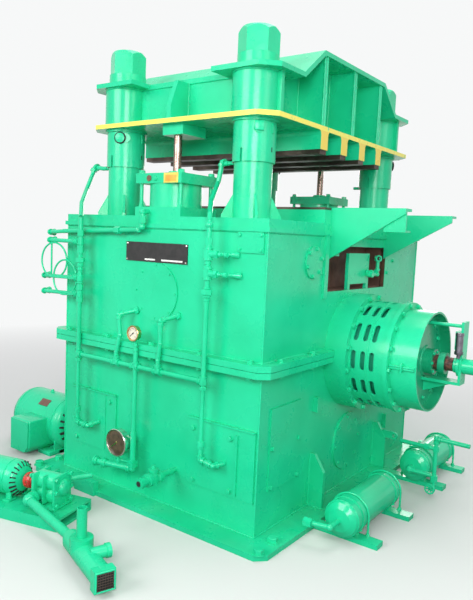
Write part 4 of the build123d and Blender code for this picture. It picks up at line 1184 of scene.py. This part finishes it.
# %% pump and coupling
casting = bmesh.new()
for x0, x1, half, low, high in ((-226, -208, 74, 74, 240), (-160, -148, 70, 80, 234), (-92, -74, 74, 74, 240)):
    add_box(casting, (x0, -half, low), (x1, half, high), turn_15, 9)
add_box(casting, (-238, -78, 62), (-70, 78, 78), turn_15, 5)
for x, y, z, way, sides, profile in (
        (-218, 0, 122, pump_way, 32, [(0, 0), (0, 46), (5, 50), (132, 50), (137, 46), (137, 0)]),
        (-218, 0, 190, pump_way, 32, [(0, 0), (0, 46), (5, 50), (132, 50), (137, 46), (137, 0)]),
        (-75, 0, PUMP_Z, pump_way, 32,
         [(0, 0), (0, 48), (6, 48), (8, 44), (18, 40), (26, 30), (30, 16), (30, 0)]),
        (-224, 0, PUMP_Z, -pump_way, 32, [(0, 0), (0, 40), (6, 42), (22, 42), (24, 30), (34, 28), (34, 0)]),
        (-150, 62, PUMP_Z, turn_15.to_3x3() @ Vector(OUT_BACK), 6,
         [(0, 0), (0, 30), (14, 30), (16, 36), (28, 36), (30, 24), (30, 0)])):
    turn_profile(casting, profile, on_pump(x, y, z), way, sides)
pump = [from_bmesh("gear_pump_casting", casting, cast_enamel)]
rows = []
for z in (88, 226):
    for y in (-60, 60):
        rows += [(on_pump(-74, y, z), pump_way, 0.024), (on_pump(-226, y, z), -pump_way, 0.024)]
rows += [(on_pump(-74, y, 157), pump_way, 0.024) for y in (-62, 62)]
pump.append(set_hardware("gear_pump_bolts", bolt_tree, rows, cast_enamel))
pump.append(turned("gear_pump_shaft", can(14, 56), on_pump(-285), pump_way, turned_shaft, steps=32))
outlet_pipe = [(-250, -1385, 180), (-236, -1352, 180), (-184, -1234, 180)]
pump.append(sweep("gear_pump_outlet", tube_tree, [outlet_pipe], pipe_enamel, Radius=0.014, Bend_radius=0.02))
for piece in pump:
    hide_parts("gear_pump")
hubs = bmesh.new()
for flip, x, way in ((0, -314, pump_way), (60, -260, -pump_way)):
    turn_profile(hubs, [(0, 14.2), (0, 33), (2, 35), (6, 35), (9, 41), (20, 42), (22, 40), (22, 14.2),
        (0, 14.2)], on_pump(x), way, 40)
    for k in range(3):
        jaw = Matrix.Rotation(math.radians(120 * k + flip), 4, "X")
        add_box(hubs, (-6, -11, 20), (6, 11, 40.5), turn_15 @ Matrix.Translation(at(-287, 0, PUMP_Z)) @ jaw,
            1.2)
coupling = [from_bmesh("coupling_hubs", hubs, red_enamel, "pump_coupling")]
star = turn_profile(bmesh.new(), [(22.5, 15), (22.5, 36), (31.5, 36), (31.5, 15), (22.5, 15)], on_pump(-314),
    pump_way, 32)
coupling.append(from_bmesh("coupling_star", star, brown_rubber, "pump_coupling"))
for piece in coupling:
    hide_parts("jaw_coupling")
print("pump of", len(pump), "and coupling of", len(coupling), "pieces")

# %% [markdown]
# ## Bosses on the sleeves and a rib on the drum
# The sleeves under the crown carry odd bosses: an oval one with a dark plug, a square one and an oblong one.
# They ride on the crown, so they go up and down with it. The drum has one shallow rib between its slots.

# %% bosses and rib
# the plugs, the dark rims round the oval bosses and the small slots are made in the painted shadow black
bosses, dark = bmesh.new(), bmesh.new()
for x, y, deg in ((-480, -759, -62), (480, 759, 45), (-480, 759, 45)):
    out = Vector((math.cos(math.radians(deg)), math.sin(math.radians(deg)), 0))
    spot = at(x, y, 2082) + out * 0.1195
    turn_profile(bosses, [(-8, 31), (3, 31), (5, 27), (5, 0)], spot, out, 28)
    turn_profile(dark, [(-8, 34.5), (2.2, 34.5), (4.4, 32), (4.4, 28), (2.2, 27.5), (-8, 34.5)], spot, out, 28)
add_box(bosses, (108, -24, -24), (131, 24, 24), turned_about_z(480, -759, 2090, -45), 3)
for x, y, deg in ((480, -759, -2), (-480, -759, 12)):
    add_box(bosses, (106, -8, -26), (119, 8, 26), turned_about_z(x, y, 2086, deg), 4)
    add_box(dark, (108, -4, -12), (114.4, 4, 12), turned_about_z(x, y, 1978, deg), 0.5)
from_bmesh("sleeve_bosses", bosses, cast_enamel, "crown")
from_bmesh("sleeve_plugs", dark, painted_shadow_black, "crown")
turned("drum_rib", [(0, 300), (0, 312), (1.5, 314.5), (6.5, 314.5), (8, 312), (8, 300), (0, 300)],
    at(983, 0, DRUM), OUT_RIGHT, cast_enamel, steps=96)
for name, y in (("rod_gland_front", -820), ("rod_gland_back", 820)):
    turned(name, [(0, 24), (0, 52), (12, 52), (15, 48), (15, 34), (21, 31), (21, 24), (0, 24)],
        at(0, y, DECK_TOP + 233), UP, cast_enamel)
turned("feed_cylinder", [(0, 0), (0, 10), (18, 10), (20, 21), (24, 23), (36, 23), (38, 20), (122, 20),
    (124, 23), (136, 23), (139, 20), (139, 0)], at(1405, -62, 927), UP, feed_grey)
print("bosses done")
